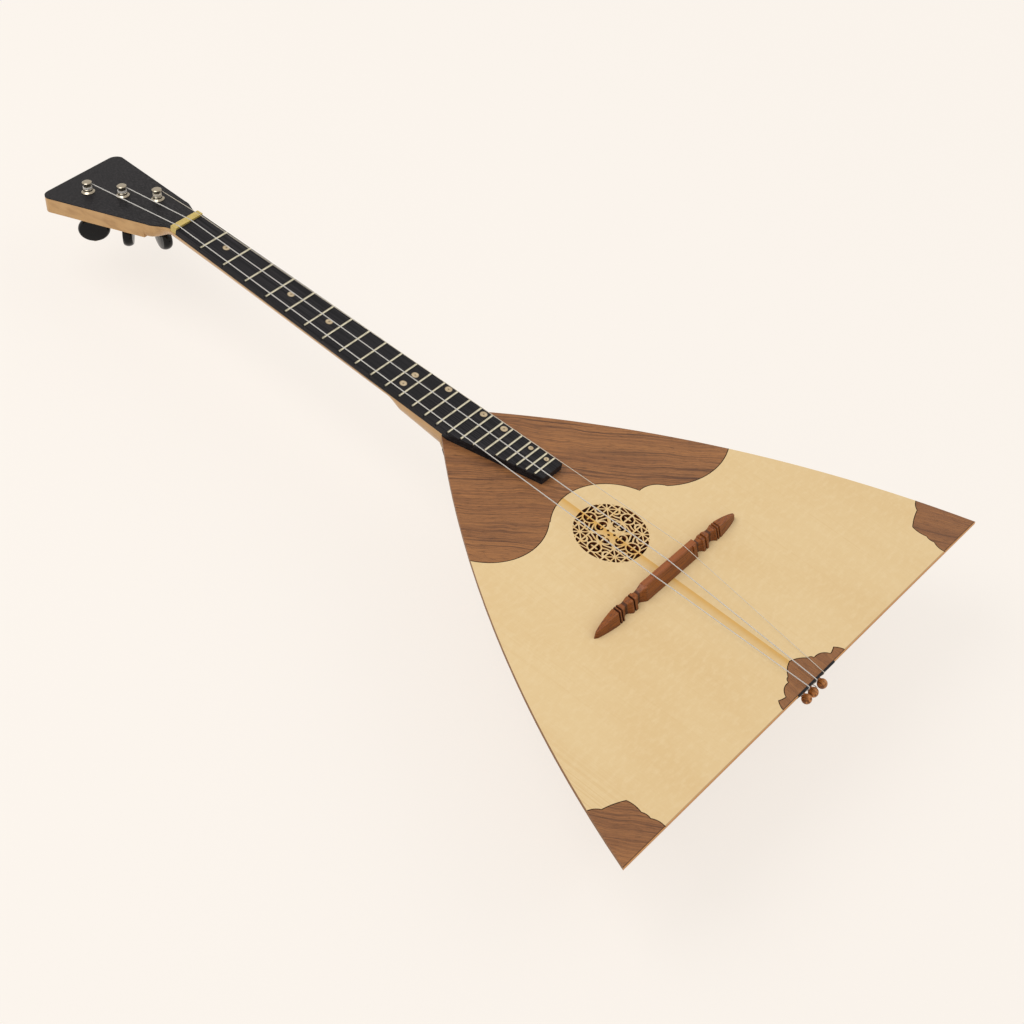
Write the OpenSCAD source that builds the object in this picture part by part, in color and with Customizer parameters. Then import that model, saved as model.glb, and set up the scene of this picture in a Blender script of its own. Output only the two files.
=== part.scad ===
// Prima balalaika: three strings, a triangular body with a back of seven
// staves, a slotted ebony fingerboard and three friction tuners.
// Millimetres. X runs across the soundboard, Y along the strings towards
// the head, Z up out of the soundboard.
// The origin is under the middle of the whole instrument, at its lowest point.

/* [Body] */
// Width of the soundboard at the tail
body_w = 404.7; // [380:1:430]
// Length of the body along the strings
body_len = 300; // [285:1:315]
// How far each long side bows out from a straight line
side_bow = 18; // [8:1:24]
// Width of the body where the neck meets it
shoulder_w = 36; // [34:0.5:44]
// Depth of the back below the soundboard, at the tail
tail_depth = 98; // [80:1:110]
// Depth of the back below the soundboard, at the neck
heel_depth = 28; // [26:1:38]
// Number of staves in the back
stave_count = 7; // [7:1:7]
// Thickness of each stave
stave_t = 2.4; // [1.8:0.1:3.2]
// How far the end panel leans in under the soundboard, in degrees
panel_lean = 18; // [12:1:24]
// Thickness of the end panel
panel_t = 3; // [2:0.2:4]

/* [Soundboard] */
// Thickness of the spruce soundboard
board_t = 2.6; // [2.2:0.1:3.4]
// Thickness of the walnut veneer let into the soundboard
inlay_t = 0.9; // [0.6:0.1:1.4]
// Radius of the round field of fretwork
rosette_r = 25.8; // [24.5:0.1:28]
// Distance of the fretwork's centre from the tail edge
rosette_y = 166.6; // [160:1:172]
// Width of the wooden bands that are left between the openings of the fretwork
band_w = 1.1; // [0.9:0.05:1.2]
// Width of the lining glued under the soundboard's edge
lining_w = 9; // [6:0.5:12]
// Height of the braces under the soundboard
brace_h = 11; // [8:0.5:14]
// Width of the braces under the soundboard
brace_w = 7; // [5:0.5:9]
// Width of the reinforcing ring under the fretwork
ring_w = 6; // [4:0.5:8]
// Thickness of the reinforcing ring under the fretwork
ring_t = 1.5; // [1:0.1:2]

/* [Inlays] */
// Radius of the sweep over the fretwork
sweep_r = 45.3; // [44:0.1:46.5]
// Radius of the walnut lobe on the bass side
bass_lobe_r = 46.3; // [45:0.1:47.5]
// Radius of the walnut lobe on the treble side
treble_lobe_r = 60; // [59:0.1:61]
// Radius of the small spruce lobe between the sweep and the treble lobe
step_lobe_r = 19.5; // [19:0.1:20.5]
// Width of the corner plates along the tail edge
corner_w = 41; // [36:0.5:46]
// Height of the corner plates along the side
corner_h = 40; // [34:0.5:44]
// Half the width of the plate under the strings at the tail
tail_plate_w = 36; // [34:0.5:38]
// Height of the walnut plate at the tail edge
tail_plate_h = 20.2; // [18:0.1:23]

/* [Neck] */
// Length of the free neck, from the body to the nut
neck_len = 258.5; // [250:0.5:268]
// Vibrating length of the strings
scale_len = 435; // [428:0.5:440]
// Height of the neck's top face above the soundboard
neck_rise = 1.8; // [1:0.1:2.5]
// Depth of the neck below its top face, near the nut
neck_d = 12; // [10:0.25:15]
// Depth of the heel's shelf, below the neck's top face
shelf_d = 16.5; // [15:0.5:20]
// Length of the heel's shelf
shelf_len = 52; // [44:1:60]

/* [Fingerboard] */
// Thickness of the fingerboard on the neck
finger_t = 4; // [3:0.1:5]
// Width of the fingerboard at the nut
nut_w = 27; // [26:0.1:29]
// Width of the fingerboard where the body starts
joint_w = 36.6; // [35:0.1:38]
// Length of the fingerboard over the soundboard
tongue_len = 74.5; // [72:0.5:80]
// How far the bass side of the tongue is cut away at its end
tongue_cut = 18.4; // [14:0.2:20]
// Number of frets
fret_count = 24; // [24:1:24]
// Width of a fret wire's crown
fret_w = 1.6; // [1.4:0.1:2.4]
// Height of a fret wire's crown
fret_h = 0.8; // [0.5:0.05:1.1]
// Width of a fret's tang and of its slot
tang_w = 0.6; // [0.4:0.05:0.8]
// Depth of a fret's tang and of its slot
tang_h = 1.6; // [1:0.1:2.2]
// Distance from a fret's end to the edge of the fingerboard
fret_inset = 0.7; // [0.3:0.1:1.2]
// Radius of a large position dot
dot_r = 2.7; // [2.2:0.1:3.2]
// Radius of a small position dot
small_dot_r = 1.9; // [1.5:0.1:2.2]
// Depth of the position dots
dot_t = 1; // [0.6:0.1:1.5]
// Radius of the small eye in the middle of each dot
dot_eye_r = 0.45; // [0.3:0.05:0.7]
// Length of the nut along the strings
nut_len = 5.5; // [4:0.25:7]
// Height of the nut above the fingerboard
nut_h = 1.7; // [1.2:0.1:2.4]

/* [Head] */
// Backward tilt of the head, in degrees
head_tilt = 14.2; // [11:0.2:17]
// Length of the head's face
head_len = 112; // [106:1:118]
// Width of the head at its wide end
head_w = 75; // [70:0.5:80]
// Width of the head above the throat
throat_w = 39.5; // [38:0.5:42]
// Thickness of the wooden head
head_t = 11.4; // [10:0.2:13]
// Thickness of the black veneer on the head's face
veneer_t = 0.8; // [0.5:0.1:1.2]
// Radius of the head's corners
head_corner_r = 7; // [4:0.5:9]
// Drop of the head's face below the fingerboard, at the nut
face_drop = 1.2; // [0.8:0.1:1.6]

/* [Tuners] */
// Distance from the nut's back to the first tuner, along the head
tuner_start = 37.5; // [36:0.5:40]
// Distance between tuners, along the head
tuner_step = 24.6; // [24:0.1:26]
// Distance between tuners, across the head
tuner_shift = 11.6; // [10.5:0.1:13]
// Sideways place of the middle tuner
tuner_mid_x = -1.8; // [-3:0.1:0]
// Radius of a tuner's shaft
shaft_r = 2.6; // [2.4:0.05:3]
// Running clearance round a tuner's shaft
shaft_gap = 0.05; // [0.02:0.01:0.09]
// Height of a tuner's cap above the head
post_h = 8.6; // [8.2:0.1:9.4]
// Radius of a tuner's cap
cap_r = 3.6; // [3.3:0.1:4.2]
// Radius of the bushing's sleeve in the head
sleeve_r = 3.9; // [3.7:0.1:4.4]
// Radius of the bushing's flared skirt on the face
skirt_r = 5; // [4.8:0.1:5.8]
// Height of the bushing's flared skirt
skirt_h = 3.1; // [2.6:0.1:3.4]
// Radius of the cup behind the head
cup_r = 6; // [5.5:0.1:6.5]
// Height of the cup behind the head
cup_h = 3.2; // [2.6:0.1:4]
// Width of a tuner's button
button_w = 24; // [22:0.5:25]
// Height of a tuner's button, along its shaft
button_h = 19.5; // [18:0.5:22]
// Thickness of a tuner's button
button_t = 8.5; // [7:0.5:10]
// Depth of the buttons' centre below the head's face
button_depth = 31; // [30:0.5:33]

/* [Bridge] */
// Length of the bridge
bridge_len = 155.4; // [148:0.2:164]
// Length of the bridge's saddle block
block_len = 56.2; // [52:0.2:60]
// Height of the bridge
bridge_h = 10.5; // [9.5:0.1:12]
// Width of the bridge's foot
bridge_foot = 8.4; // [7.4:0.1:9.4]
// Width of the bridge's crown
bridge_crown = 3.6; // [2.8:0.1:4.4]
// Extra string length at the bridge
bridge_extra = 1.3; // [0:0.1:3]
// Height of the bridge's carved arms
arm_h = 8.3; // [7.4:0.1:9.2]
// Sideways place of the bridge
bridge_x = -2.3; // [-3:0.1:2]

/* [Strings] */
// Diameter of the two nylon strings
nylon_d = 0.75; // [0.6:0.05:0.9]
// Diameter of the steel string
steel_d = 0.45; // [0.35:0.05:0.6]
// Distance between strings at the nut
nut_spacing = 10.3; // [9.5:0.1:11]
// Sideways place of the middle string at the nut
nut_mid_x = 1.4; // [-1:0.1:1.6]
// Distance between strings at the bridge
bridge_spacing = 18; // [16:0.1:19]
// Distance between strings at the tail
tail_spacing = 8.7; // [8:0.1:9.5]
// Clearance between a string and what it lies on
string_gap = 0.3; // [0.2:0.05:0.35]

/* [Tail] */
// Length of the black saddle at the tail edge
saddle_len = 41; // [36:0.5:46]
// Height of the saddle above the soundboard
saddle_h = 0.7; // [0.5:0.1:1.4]
// How far the saddle stands out over the tail edge
saddle_out = 0.8; // [0.3:0.1:1]
// Depth of the saddle's seat in the tail edge
saddle_seat = 0.5; // [0.4:0.1:1.6]
// Sideways place of the saddle
saddle_x = 1.4; // [-3:0.1:3]
// Radius of a tail pin's ball
ball_r = 3.5; // [3.1:0.1:4]
// Radius of a tail pin's neck
pin_neck_r = 1.8; // [1.6:0.1:2]
// Radius of a tail pin's shank
pin_shank_r = 2.5; // [2:0.1:3]
// Length of a tail pin's shank inside the body
pin_shank_len = 17; // [12:0.5:20]
// Distance from the end panel to a ball's centre
pin_out = 4.6; // [4.4:0.1:5.6]
// Depth of the two upper pins below the soundboard
pin_depth = 8.5; // [8:0.1:10]
// How far the bass pin sits below the others
pin_drop = 1.4; // [0:0.2:3]
// Distance between the pins
pin_spacing = 9; // [8.6:0.1:10]

/* [Hidden] */
$fn = 48;

// Colours
spruce = [0.88, 0.76, 0.56];
walnut = [0.45, 0.30, 0.20];
maple = [0.80, 0.64, 0.44];
ebony = [0.16, 0.15, 0.15];
nickel = [0.75, 0.73, 0.68];
bone = [0.80, 0.72, 0.45];
rosewood = [0.45, 0.22, 0.13];

// --- The body's outline ---------------------------------------------------
hw_tail = body_w / 2;
hw_heel = shoulder_w / 2;
chord = norm([hw_tail - hw_heel, body_len]);
side_r = (chord * chord / 4 + side_bow * side_bow) / (2 * side_bow);
side_mid = [(hw_tail + hw_heel) / 2, body_len / 2];
side_normal = [body_len, hw_tail - hw_heel] / chord;
side_centre = side_mid + side_normal * (side_bow - side_r);
// Half the body's width at a distance y from the tail edge
function half_w(y) = side_centre.x + sqrt(side_r * side_r - pow(y - side_centre.y, 2));

// --- The back --------------------------------------------------------------
// The ridges between staves lie on an arc of this angle at the tail
back_arc = 4 * atan(tail_depth / hw_tail);
depth_slope = (tail_depth - heel_depth) / body_len;
lean = tan(panel_lean);
function back_depth(y) = tail_depth - depth_slope * y;
function ridge_angle(i) = back_arc * (i / stave_count - 0.5);
function ridge_x(i) = sin(ridge_angle(i)) / sin(back_arc / 2);
function ridge_z(i) = (cos(ridge_angle(i)) - cos(back_arc / 2)) / (1 - cos(back_arc / 2));
// A point of ridge i at a distance y from the tail edge, moved in by t
function ridge(i, y, t = 0) =
    [(half_w(y) - t) * ridge_x(i), y, -board_t - max(back_depth(y) - t, 0) * ridge_z(i)];
// Where ridge i meets the end panel's plane, off millimetres inside it
function ridge_y0(i, t = 0, off = 0) =
    (lean * (tail_depth - t) * ridge_z(i) + off / cos(panel_lean)) / (1 + lean * depth_slope * ridge_z(i));
function ridge_end(i, t = 0, off = 0) = ridge(i, ridge_y0(i, t, off), t);
// Stations along a stave: 0 is its end at the end panel, the last is at the neck
stave_steps = 16;
stave_lead = 12;
first_y = lean * tail_depth + stave_lead;
function station_y(k) = first_y + (body_len - first_y) * (k - 1) / (stave_steps - 1);
function ridge_at(i, k, t = 0) = k == 0 ? ridge_end(i, t) : ridge(i, station_y(k), t);

// --- Levels ----------------------------------------------------------------
nut_y = body_len + neck_len;
finger_z = neck_rise + finger_t;
fret_z = finger_z + fret_h;
nut_z = finger_z + nut_h;
head_y = nut_y + nut_len - 0.5;
head_z = finger_z - face_drop;
bridge_y = nut_y - scale_len - bridge_extra;
throat_len = 22;

// --- The strings -----------------------------------------------------------
function string_d(i) = i == 2 ? steel_d : nylon_d;
function nut_x(i) = nut_mid_x * (i == 1 ? 1 : 0.3) + (i - 1) * nut_spacing;
function bridge_string_x(i) = (i - 1) * bridge_spacing;
function tail_x(i) = (i - 1) * tail_spacing;
function pin_x(i) = (i - 1) * pin_spacing + 0.4;
function pin_z(i) = -pin_depth - (i == 1 ? pin_drop : 0);
function pin_y(i) = -(pin_z(i) + board_t) * lean;

// --- The tuners ------------------------------------------------------------
// Tuner 0 holds the bass string, farthest from the nut
function tuner_s(i) = tuner_start + (2 - i) * tuner_step;
function tuner_x(i) = tuner_mid_x + (i - 1) * tuner_shift;
button_turn = [-50, 43, 68];
head_back = veneer_t + head_t;
barrel_r = shaft_r + 0.1;
winding_base = skirt_h + 0.35;
function turns(i) = i == 2 ? 5 : 2;
function winding_h(i) = turns(i) * string_d(i);
function leave_h(i) = winding_base + winding_h(i) + 0.3 + string_d(i) / 2;
function leave_off(i) = barrel_r + 0.3 + string_d(i) / 2;

// A point on the head: x across, s along the face, h above it
function head_point(x, s, h) = [
    x,
    head_y + s * cos(head_tilt) + h * sin(head_tilt),
    head_z - s * sin(head_tilt) + h * cos(head_tilt)
];

// --- The whole instrument's place -----------------------------------------
lowest_z = ridge_end((stave_count - 1) / 2).z;
low_z = min([for (i = [0 : stave_count]) ridge_end(i).z]);
far_y = head_point(0, head_len, 0).y;
function ball_y(i) = pin_y(i) - pin_out * cos(panel_lean);
near_y = min([for (i = [0 : 2]) ball_y(i) - ball_r]);
module place() {
    translate([0, -(near_y + far_y) / 2, -low_z]) children();
}

// --- General shapes --------------------------------------------------------
// A solid through rings of points, each ring with the same number of points.
// The strips named in turned are split along their other diagonal.
module loft(rings, turned = []) {
    n = len(rings[0]);
    m = len(rings);
    sides = [
        for (k = [0 : m - 2], j = [0 : n - 1])
        let (a = k * n + j, b = k * n + (j + 1) % n)
        each len(search(j, turned)) == 0 ?
            [[a, b, b + n], [a, b + n, a + n]] :
            [[a, b, a + n], [b, b + n, a + n]]
    ];
    near = [[for (j = [n - 1 : -1 : 0]) j]];
    far = [[for (j = [0 : n - 1]) (m - 1) * n + j]];
    polyhedron(points = [for (r = rings) each r], faces = concat(near, sides, far), convexity = 6);
}

function unit(v) = v / norm(v);
// The side vector of each point of a route, carried along without twist
function sides_of(tangents, k, side) =
    k == len(tangents) ? [] :
    let (s = unit(side - (side * tangents[k]) * tangents[k]))
    concat([s], sides_of(tangents, k + 1, s));
function tangents_of(route) = [
    for (k = [0 : len(route) - 1])
    unit(route[min(k + 1, len(route) - 1)] - route[max(k - 1, 0)])
];
// A round wire of diameter d along a route
module wire(route, d, side) {
    sides = 8;
    tangents = tangents_of(route);
    across = sides_of(tangents, 0, side);
    loft([
        for (k = [0 : len(route) - 1])
        let (u = across[k], v = cross(u, tangents[k]))
        [for (j = [0 : sides - 1]) route[k] + d / 2 * (cos(360 * j / sides) * u + sin(360 * j / sides) * v)]
    ]);
}

// --- Soundboard and inlays ---------------------------------------------------
module body_2d() {
    intersection() {
        translate(side_centre) circle(r = side_r, $fn = 1440);
        translate([-side_centre.x, side_centre.y]) circle(r = side_r, $fn = 1440);
        translate([-body_w, 0]) square([2 * body_w, body_len]);
    }
}

// A straight band between two points
module bar(a, b, w = band_w) {
    n = w / 2 * unit([a.y - b.y, b.x - a.x]);
    polygon([a - n, b - n, b + n, a + n]);
}
module oval(a, b) {
    polygon([for (k = [0 : 27]) [a * cos(360 * k / 28), b * sin(360 * k / 28)]]);
}
module hoop(r) {
    difference() {
        circle(r = r + band_w / 2);
        circle(r = r - band_w / 2);
    }
}

// The wooden bands of the fretwork, on a field of radius 25.8
frame_in = 9.8;
frame_out = 20.2;
star_c = (frame_in + frame_out) / 2;
module lattice_2d() {
    difference() {
        circle(r = 5.8);
        for (k = [0 : 3]) rotate(90 * k) translate([0, 2.8]) rotate(45) square(1.7, center = true);
    }
    for (quarter = [0 : 3]) rotate(90 * quarter) {
        // an inner oval with its stem and leaves
        translate([0, 8.2]) difference() {
            oval(5.1 + band_w / 2, 3.7 + band_w / 2);
            oval(5.1 - band_w / 2, 3.7 - band_w / 2);
        }
        bar([0, 3.8], [0, 13.4], 1.2);
        translate([0, 13]) circle(r = 1.3);
        polygon([[0, 7.6], [1.5, 7.9], [3, 7], [1.7, 6.6], [0, 6.7], [-1.7, 6.6], [-3, 7], [-1.5, 7.9]]);
        // an outer hoop with its stem and leaves
        translate([0, 18.3]) hoop(4.8);
        bar([0, 13], [0, 26], 1.2);
        polygon([[0, 18.8], [1.6, 19.1], [3.1, 18.5], [1.6, 17.8], [0, 18.1], [-1.6, 17.8], [-3.1, 18.5], [-1.6, 19.1]]);
        // a star of eight rays in its frame
        translate([star_c, star_c]) for (k = [0 : 3]) rotate(45 * k)
            bar([k % 2 == 0 ? -5.2 : -7.3, 0], [k % 2 == 0 ? 5.2 : 7.3, 0], 0.9);
        bar([2.4, 2.4], [frame_in + 0.4, frame_in + 0.4], 2.2);
        for (flip = [0, 1]) mirror([flip, -flip]) {
            bar([frame_in, frame_in - band_w / 2], [frame_in, 25]);
            bar([frame_out, frame_in - band_w / 2], [frame_out, 17]);
            // from the crossings to the frame's corner
            bar([0, 13.1], [5.2, 11.8]);
            bar([5, 11.8], [frame_in, frame_in]);
            bar([3.9, 15.3], [7, 13.6]);
            bar([6.8, 13.7], [frame_in, 13.2]);
            // an arch against the frame
            intersection() {
                translate([frame_in, 17.8]) difference() {
                    circle(r = 3.3);
                    circle(r = 1.9);
                }
                translate([frame_in - 4, 14]) square([4, 8]);
            }
            bar([4.9, 18.6], [7.5, 17.8], 0.8);
            bar([1.2, 22.6], [frame_in, 24.6], 0.8);
            bar([3.9, 21.4], [frame_in, 21.2], 0.8);
            bar([frame_out - 0.3, 14.4], [24, 12.4], 0.8);
        }
    }
}
module fretwork_2d() {
    difference() {
        circle(r = 25.8, $fn = 120);
        lattice_2d();
    }
}

module rosette_2d() {
    translate([0, rosette_y]) scale(rosette_r / 25.8) fretwork_2d();
}

// The two points where circles a and b meet; side picks one
function meet(a, ra, b, rb, side) =
    let (d = norm(b - a), e = unit(b - a), p = (d * d + ra * ra - rb * rb) / (2 * d), q = sqrt(max(ra * ra - p * p, 0)))
    a + e * p + side * q * [-e.y, e.x];
// Centres of the four arcs, as seen from the fretwork's centre
sweep_at = [2.5, -3.6];
bass_lobe_at = [-50, 72.1];
step_lobe_at = [46.5, -8.8];
treble_lobe_at = [101, 47.4];
rosette_c = [0, rosette_y];
sweep_c = rosette_c + sweep_at;
bass_c = rosette_c + bass_lobe_at;
step_c = rosette_c + step_lobe_at;
treble_c = rosette_c + treble_lobe_at;
plate_top = [hw_tail, body_len];

module upper_2d() {
    intersection() {
        body_2d();
        difference() {
            union() {
                translate(bass_c) circle(r = bass_lobe_r, $fn = 180);
                translate(treble_c) circle(r = treble_lobe_r, $fn = 180);
                polygon([
                    meet(bass_c, bass_lobe_r, sweep_c, sweep_r, -1),
                    sweep_c,
                    step_c,
                    meet(step_c, step_lobe_r, treble_c, treble_lobe_r, -1),
                    treble_c,
                    plate_top,
                    [-plate_top.x, plate_top.y],
                    bass_c - [bass_lobe_r + 12, 20],
                    bass_c
                ]);
            }
            translate(sweep_c) circle(r = sweep_r, $fn = 180);
            translate(step_c) circle(r = step_lobe_r, $fn = 90);
        }
    }
}

// A scalloped edge. Each row is a knot, then how far the stretch after it bulges to the left
function scallops(rows) = [
    for (k = [0 : len(rows) - 2])
    let (a = [rows[k].x, rows[k].y], d = [rows[k + 1].x, rows[k + 1].y] - a, out = [-d.y, d.x] / norm(d))
    for (u = [0 : 0.125 : 0.99]) a + d * u + out * 4 * rows[k].z * u * (1 - u)
];
// Knots as shares of the plate's width and height
corner_knots = [
    [1, 0, 0.029], [0.957, 0.25, 0.02], [0.943, 0.415, 0.022],
    [0.948, 0.703, 0.014], [0.555, 0.863, 0.02]
];
tail_knots = [
    [0, 1, 0.027], [0.314, 0.673, 0.024], [0.411, 0.535, 0.056],
    [0.717, 0.257, -0.008], [0.883, 0.342, 0.014], [1, 0, 0]
];

module corner_2d() {
    rim = [half_w(corner_h), corner_h];
    edge = concat(
        [for (k = corner_knots) [hw_tail - corner_w * k.x, corner_h * k.y, corner_w * k.z]], [[rim.x, rim.y, 0]]
    );
    intersection() {
        body_2d();
        polygon(concat(scallops(edge), [rim, [rim.x + corner_w, corner_h], [rim.x + corner_w, -1], [edge[0].x, -1]]));
    }
}

module tail_2d() {
    edge = [for (k = tail_knots) [tail_plate_w * k.x, tail_plate_h * k.y, tail_plate_w * k.z]];
    intersection() {
        body_2d();
        for (side = [0, 1]) mirror([side, 0])
            polygon(concat(scallops(edge), [[tail_plate_w, 0], [tail_plate_w, -1], [0, -1]]));
    }
}

module saddle_2d(side) {
    translate([saddle_x - saddle_len / 2, -side]) square([saddle_len, saddle_seat + side]);
}

module soundboard() {
    color(spruce) place() difference() {
        translate([0, 0, -board_t]) linear_extrude(board_t) body_2d();
        translate([0, 0, -board_t - 1]) linear_extrude(board_t + 2) rosette_2d();
        translate([0, 0, -inlay_t]) linear_extrude(inlay_t + 1) {
            upper_2d();
            corner_2d();
            mirror([1, 0]) corner_2d();
            tail_2d();
        }
        translate([0, 0, -board_t - 1]) linear_extrude(board_t + 2) saddle_2d(1);
    }
}

module inlay() {
    color(walnut) place() translate([0, 0, -inlay_t]) linear_extrude(inlay_t) children();
}
module upper_inlay() inlay() upper_2d();
module corner_inlay_bass() inlay() mirror([1, 0]) corner_2d();
module corner_inlay_treble() inlay() corner_2d();
module tail_inlay() inlay() difference() {
    tail_2d();
    saddle_2d(1);
}

// --- The back ---------------------------------------------------------------
// The staves of the bass side mirror those of the treble side
module stave(i) {
    j = max(i, stave_count - 1 - i);
    color(maple) place() mirror([i < j ? 1 : 0, 0, 0]) loft([
        for (k = [0 : stave_steps])
        [ridge_at(j, k), ridge_at(j + 1, k), ridge_at(j + 1, k, stave_t), ridge_at(j, k, stave_t)]
    ], [2, 3]);
}

// A slice of the hollow between the staves, from one ring of ridge points to another
glue_t = 0.3;
function inside_ring(off) = [for (i = [0 : stave_count]) ridge_end(i, stave_t + glue_t, off)];
function inside_slice(k) = [for (i = [0 : stave_count]) ridge_at(i, k, stave_t + glue_t)];

// The shanks stop short of the soundboard they rise towards
shank_len = min(pin_shank_len, (pin_depth - pin_shank_r - board_t - 0.3) / sin(panel_lean));
press_gap = 0.03;
module at_pin(i) {
    translate([pin_x(i), pin_y(i), pin_z(i)]) rotate([90 + panel_lean, 0, 0]) children();
}
module pin_bores() {
    for (i = [0 : 2]) at_pin(i) translate([0, 0, -shank_len - glue_t]) cylinder(r = pin_shank_r + press_gap, h = shank_len + 5);
}

module end_panel() {
    color(maple) place() difference() {
        loft([inside_ring(0), inside_ring(panel_t)]);
        pin_bores();
        translate([0, 0, -saddle_seat - board_t]) linear_extrude(saddle_seat + board_t + 1) saddle_2d(1);
    }
}

tail_block_w = 56;
tail_block_len = 16;
tail_block_h = 30;
module tail_block() {
    start = panel_t / cos(panel_lean);
    low = board_t + tail_block_h;
    color(maple) place() difference() {
        rotate([90, 0, 90]) translate([0, 0, -tail_block_w / 2]) linear_extrude(tail_block_w) polygon([
            [start, -board_t], [start + tail_block_len, -board_t],
            [start + tail_block_len + tail_block_h * lean, -low], [start + tail_block_h * lean, -low]
        ]);
        pin_bores();
    }
}

// The neck block and the linings share the staves' stations, so that they lie along them
block_stations = 3;
module neck_block() {
    color(maple) place() loft(
        [for (k = [stave_steps - block_stations + 1 : stave_steps]) inside_slice(k)],
        [for (i = [0 : (stave_count - 3) / 2]) i]
    );
}

lining_share = 0.24;
module lining() {
    start = (panel_t + glue_t) / cos(panel_lean) + lining_share * tail_depth * ridge_z(1) * lean;
    ys = concat([start], [for (k = [1 : stave_steps - block_stations]) station_y(k)], [station_y(stave_steps - block_stations + 1) - glue_t]);
    color(spruce) place() loft([
        for (y = ys)
        let (
            top = ridge(stave_count, y, stave_t + glue_t),
            low = ridge(stave_count - 1, y, stave_t + glue_t)
        )
        [top, top - [min(lining_w, top.x / 2), 0, 0], top + (low - top) * lining_share]
    ], [2]);
}
module lining_treble() lining();
module lining_bass() mirror([1, 0, 0]) lining();

module brace(y) {
    reach = half_w(y + brace_w / 2) - stave_t - lining_w - 1;
    color(spruce) place() translate([0, y + brace_w / 2, 0]) rotate([90, 0, 0]) linear_extrude(brace_w) polygon([
        [-reach, -board_t], [-reach, -board_t - brace_h * 0.3], [-reach + 25, -board_t - brace_h],
        [reach - 25, -board_t - brace_h], [reach, -board_t - brace_h * 0.3], [reach, -board_t]
    ]);
}
brace_gap = ring_w + brace_w / 2 + 3;
module brace_upper() brace(rosette_y + rosette_r + brace_gap);
module brace_middle() brace(rosette_y - rosette_r - brace_gap);
module brace_lower() brace((rosette_y - rosette_r - brace_gap) / 2);

module rosette_ring() {
    color(spruce) place() translate([0, rosette_y, -board_t - ring_t]) difference() {
        cylinder(r = rosette_r + 1 + ring_w, h = ring_t);
        translate([0, 0, -1]) cylinder(r = rosette_r + 1, h = ring_t + 2);
    }
}

// --- Neck and head -----------------------------------------------------------
// Half the fingerboard's width at a distance y from the tail edge
function finger_hw(y) = (joint_w + (nut_w - joint_w) * (y - body_len) / neck_len) / 2;

neck_points = 16;
// The rounded underside of a neck section; power 2 is an ellipse, more is squarer
function round_under(hw, d, power) = [
    for (k = [neck_points : -1 : 0])
    let (a = 180 * k / neck_points, c = cos(a), s = sin(a))
    [hw * sign(c) * pow(abs(c), 2 / power), -d * pow(s, 2 / power)]
];
function neck_ring(y, d, power) = [
    for (p = round_under(finger_hw(y), d, power)) [p.x, y, neck_rise + p.y]
];
// Depth and squareness of the neck at a distance y from the tail edge
nut_flare = 60;
heel_rise = 3;
heel_fall = 4.5;
heel_ramp = 12;
shelf_y = body_len + shelf_len;
function ease(u) = u <= 0 ? 0 : u >= 1 ? 1 : u * u * (3 - 2 * u);
function neck_depth(y) =
    neck_d - 1 + ease((y - nut_y + nut_flare) / nut_flare)
    + (shelf_d - neck_d + 1) * ease((shelf_y - 1 - y) / heel_ramp)
    + heel_fall * min(1, max(0, shelf_y - 1 - heel_ramp - y) / (shelf_len - 1 - heel_ramp))
    + (heel_depth + board_t + neck_rise - shelf_d - heel_fall) * ease((body_len + heel_rise - y) / heel_rise);
function neck_power(y) =
    1.65 + 0.4 * ease((shelf_y - 1 - y) / heel_ramp) - 0.45 * ease((body_len + heel_rise - y) / heel_rise);
neck_stations = concat(
    [for (k = [0 : 9]) body_len + heel_rise * k / 9],
    [for (k = [1 : 4]) body_len + heel_rise + (shelf_len - 12 - heel_rise) * k / 4],
    [for (k = [1 : 7]) shelf_y - 12 + 20 * k / 7],
    [for (k = [1 : 8]) shelf_y + 8 + (neck_len + nut_len - shelf_len - 8) * k / 8]
);

// Half the head's width at a distance s along its face
flare_len = throat_len - 3;
side_slope = (head_w - throat_w) / 2 / (head_len - head_corner_r - flare_len);
neck_end_y = nut_y + nut_len;
function head_hw(s) =
    s < flare_len ?
        finger_hw(neck_end_y) + (throat_w / 2 - finger_hw(neck_end_y)) * ease((s - 1) / (flare_len - 1)) :
        throat_w / 2 + side_slope * (s - flare_len);

// Where the head's wood starts, behind the nut
head_s0 = (neck_end_y - head_y + veneer_t * sin(head_tilt)) / cos(head_tilt);
throat_steps = 12;
function throat_ring(u) =
    let (
        s = head_s0 + (throat_len - head_s0) * u,
        v = ease(u),
        turn = head_tilt * v,
        top = head_point(0, s, -veneer_t)
    )
    [
        for (p = round_under(head_hw(s), neck_d + (head_t - neck_d) * v, 1.65 + 7 * v * v))
        [p.x, top.y + p.y * sin(turn), min(top.z, neck_rise) + p.y * cos(turn)]
    ];

module neck() {
    wedge = [for (k = [0 : 8]) [head_hw(head_s0 + k) - 0.12, head_s0 - 2 + k * 1.3]];
    color(maple) place() {
        loft(concat(
            [for (y = neck_stations) neck_ring(y, neck_depth(y), neck_power(y))],
            [for (k = [1 : throat_steps]) throat_ring(k / throat_steps)]
        ));
        // the wedge of wood between the nut and the face of the head
        intersection() {
            on_head() translate([0, 0, -6]) linear_extrude(6 - veneer_t) polygon(concat(
                wedge, [for (k = [8 : -1 : 0]) [-wedge[k].x, wedge[k].y]]
            ));
            translate([-nut_w, neck_end_y, neck_rise - 0.9]) cube([2 * nut_w, 12, 8]);
        }
    }
}

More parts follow.
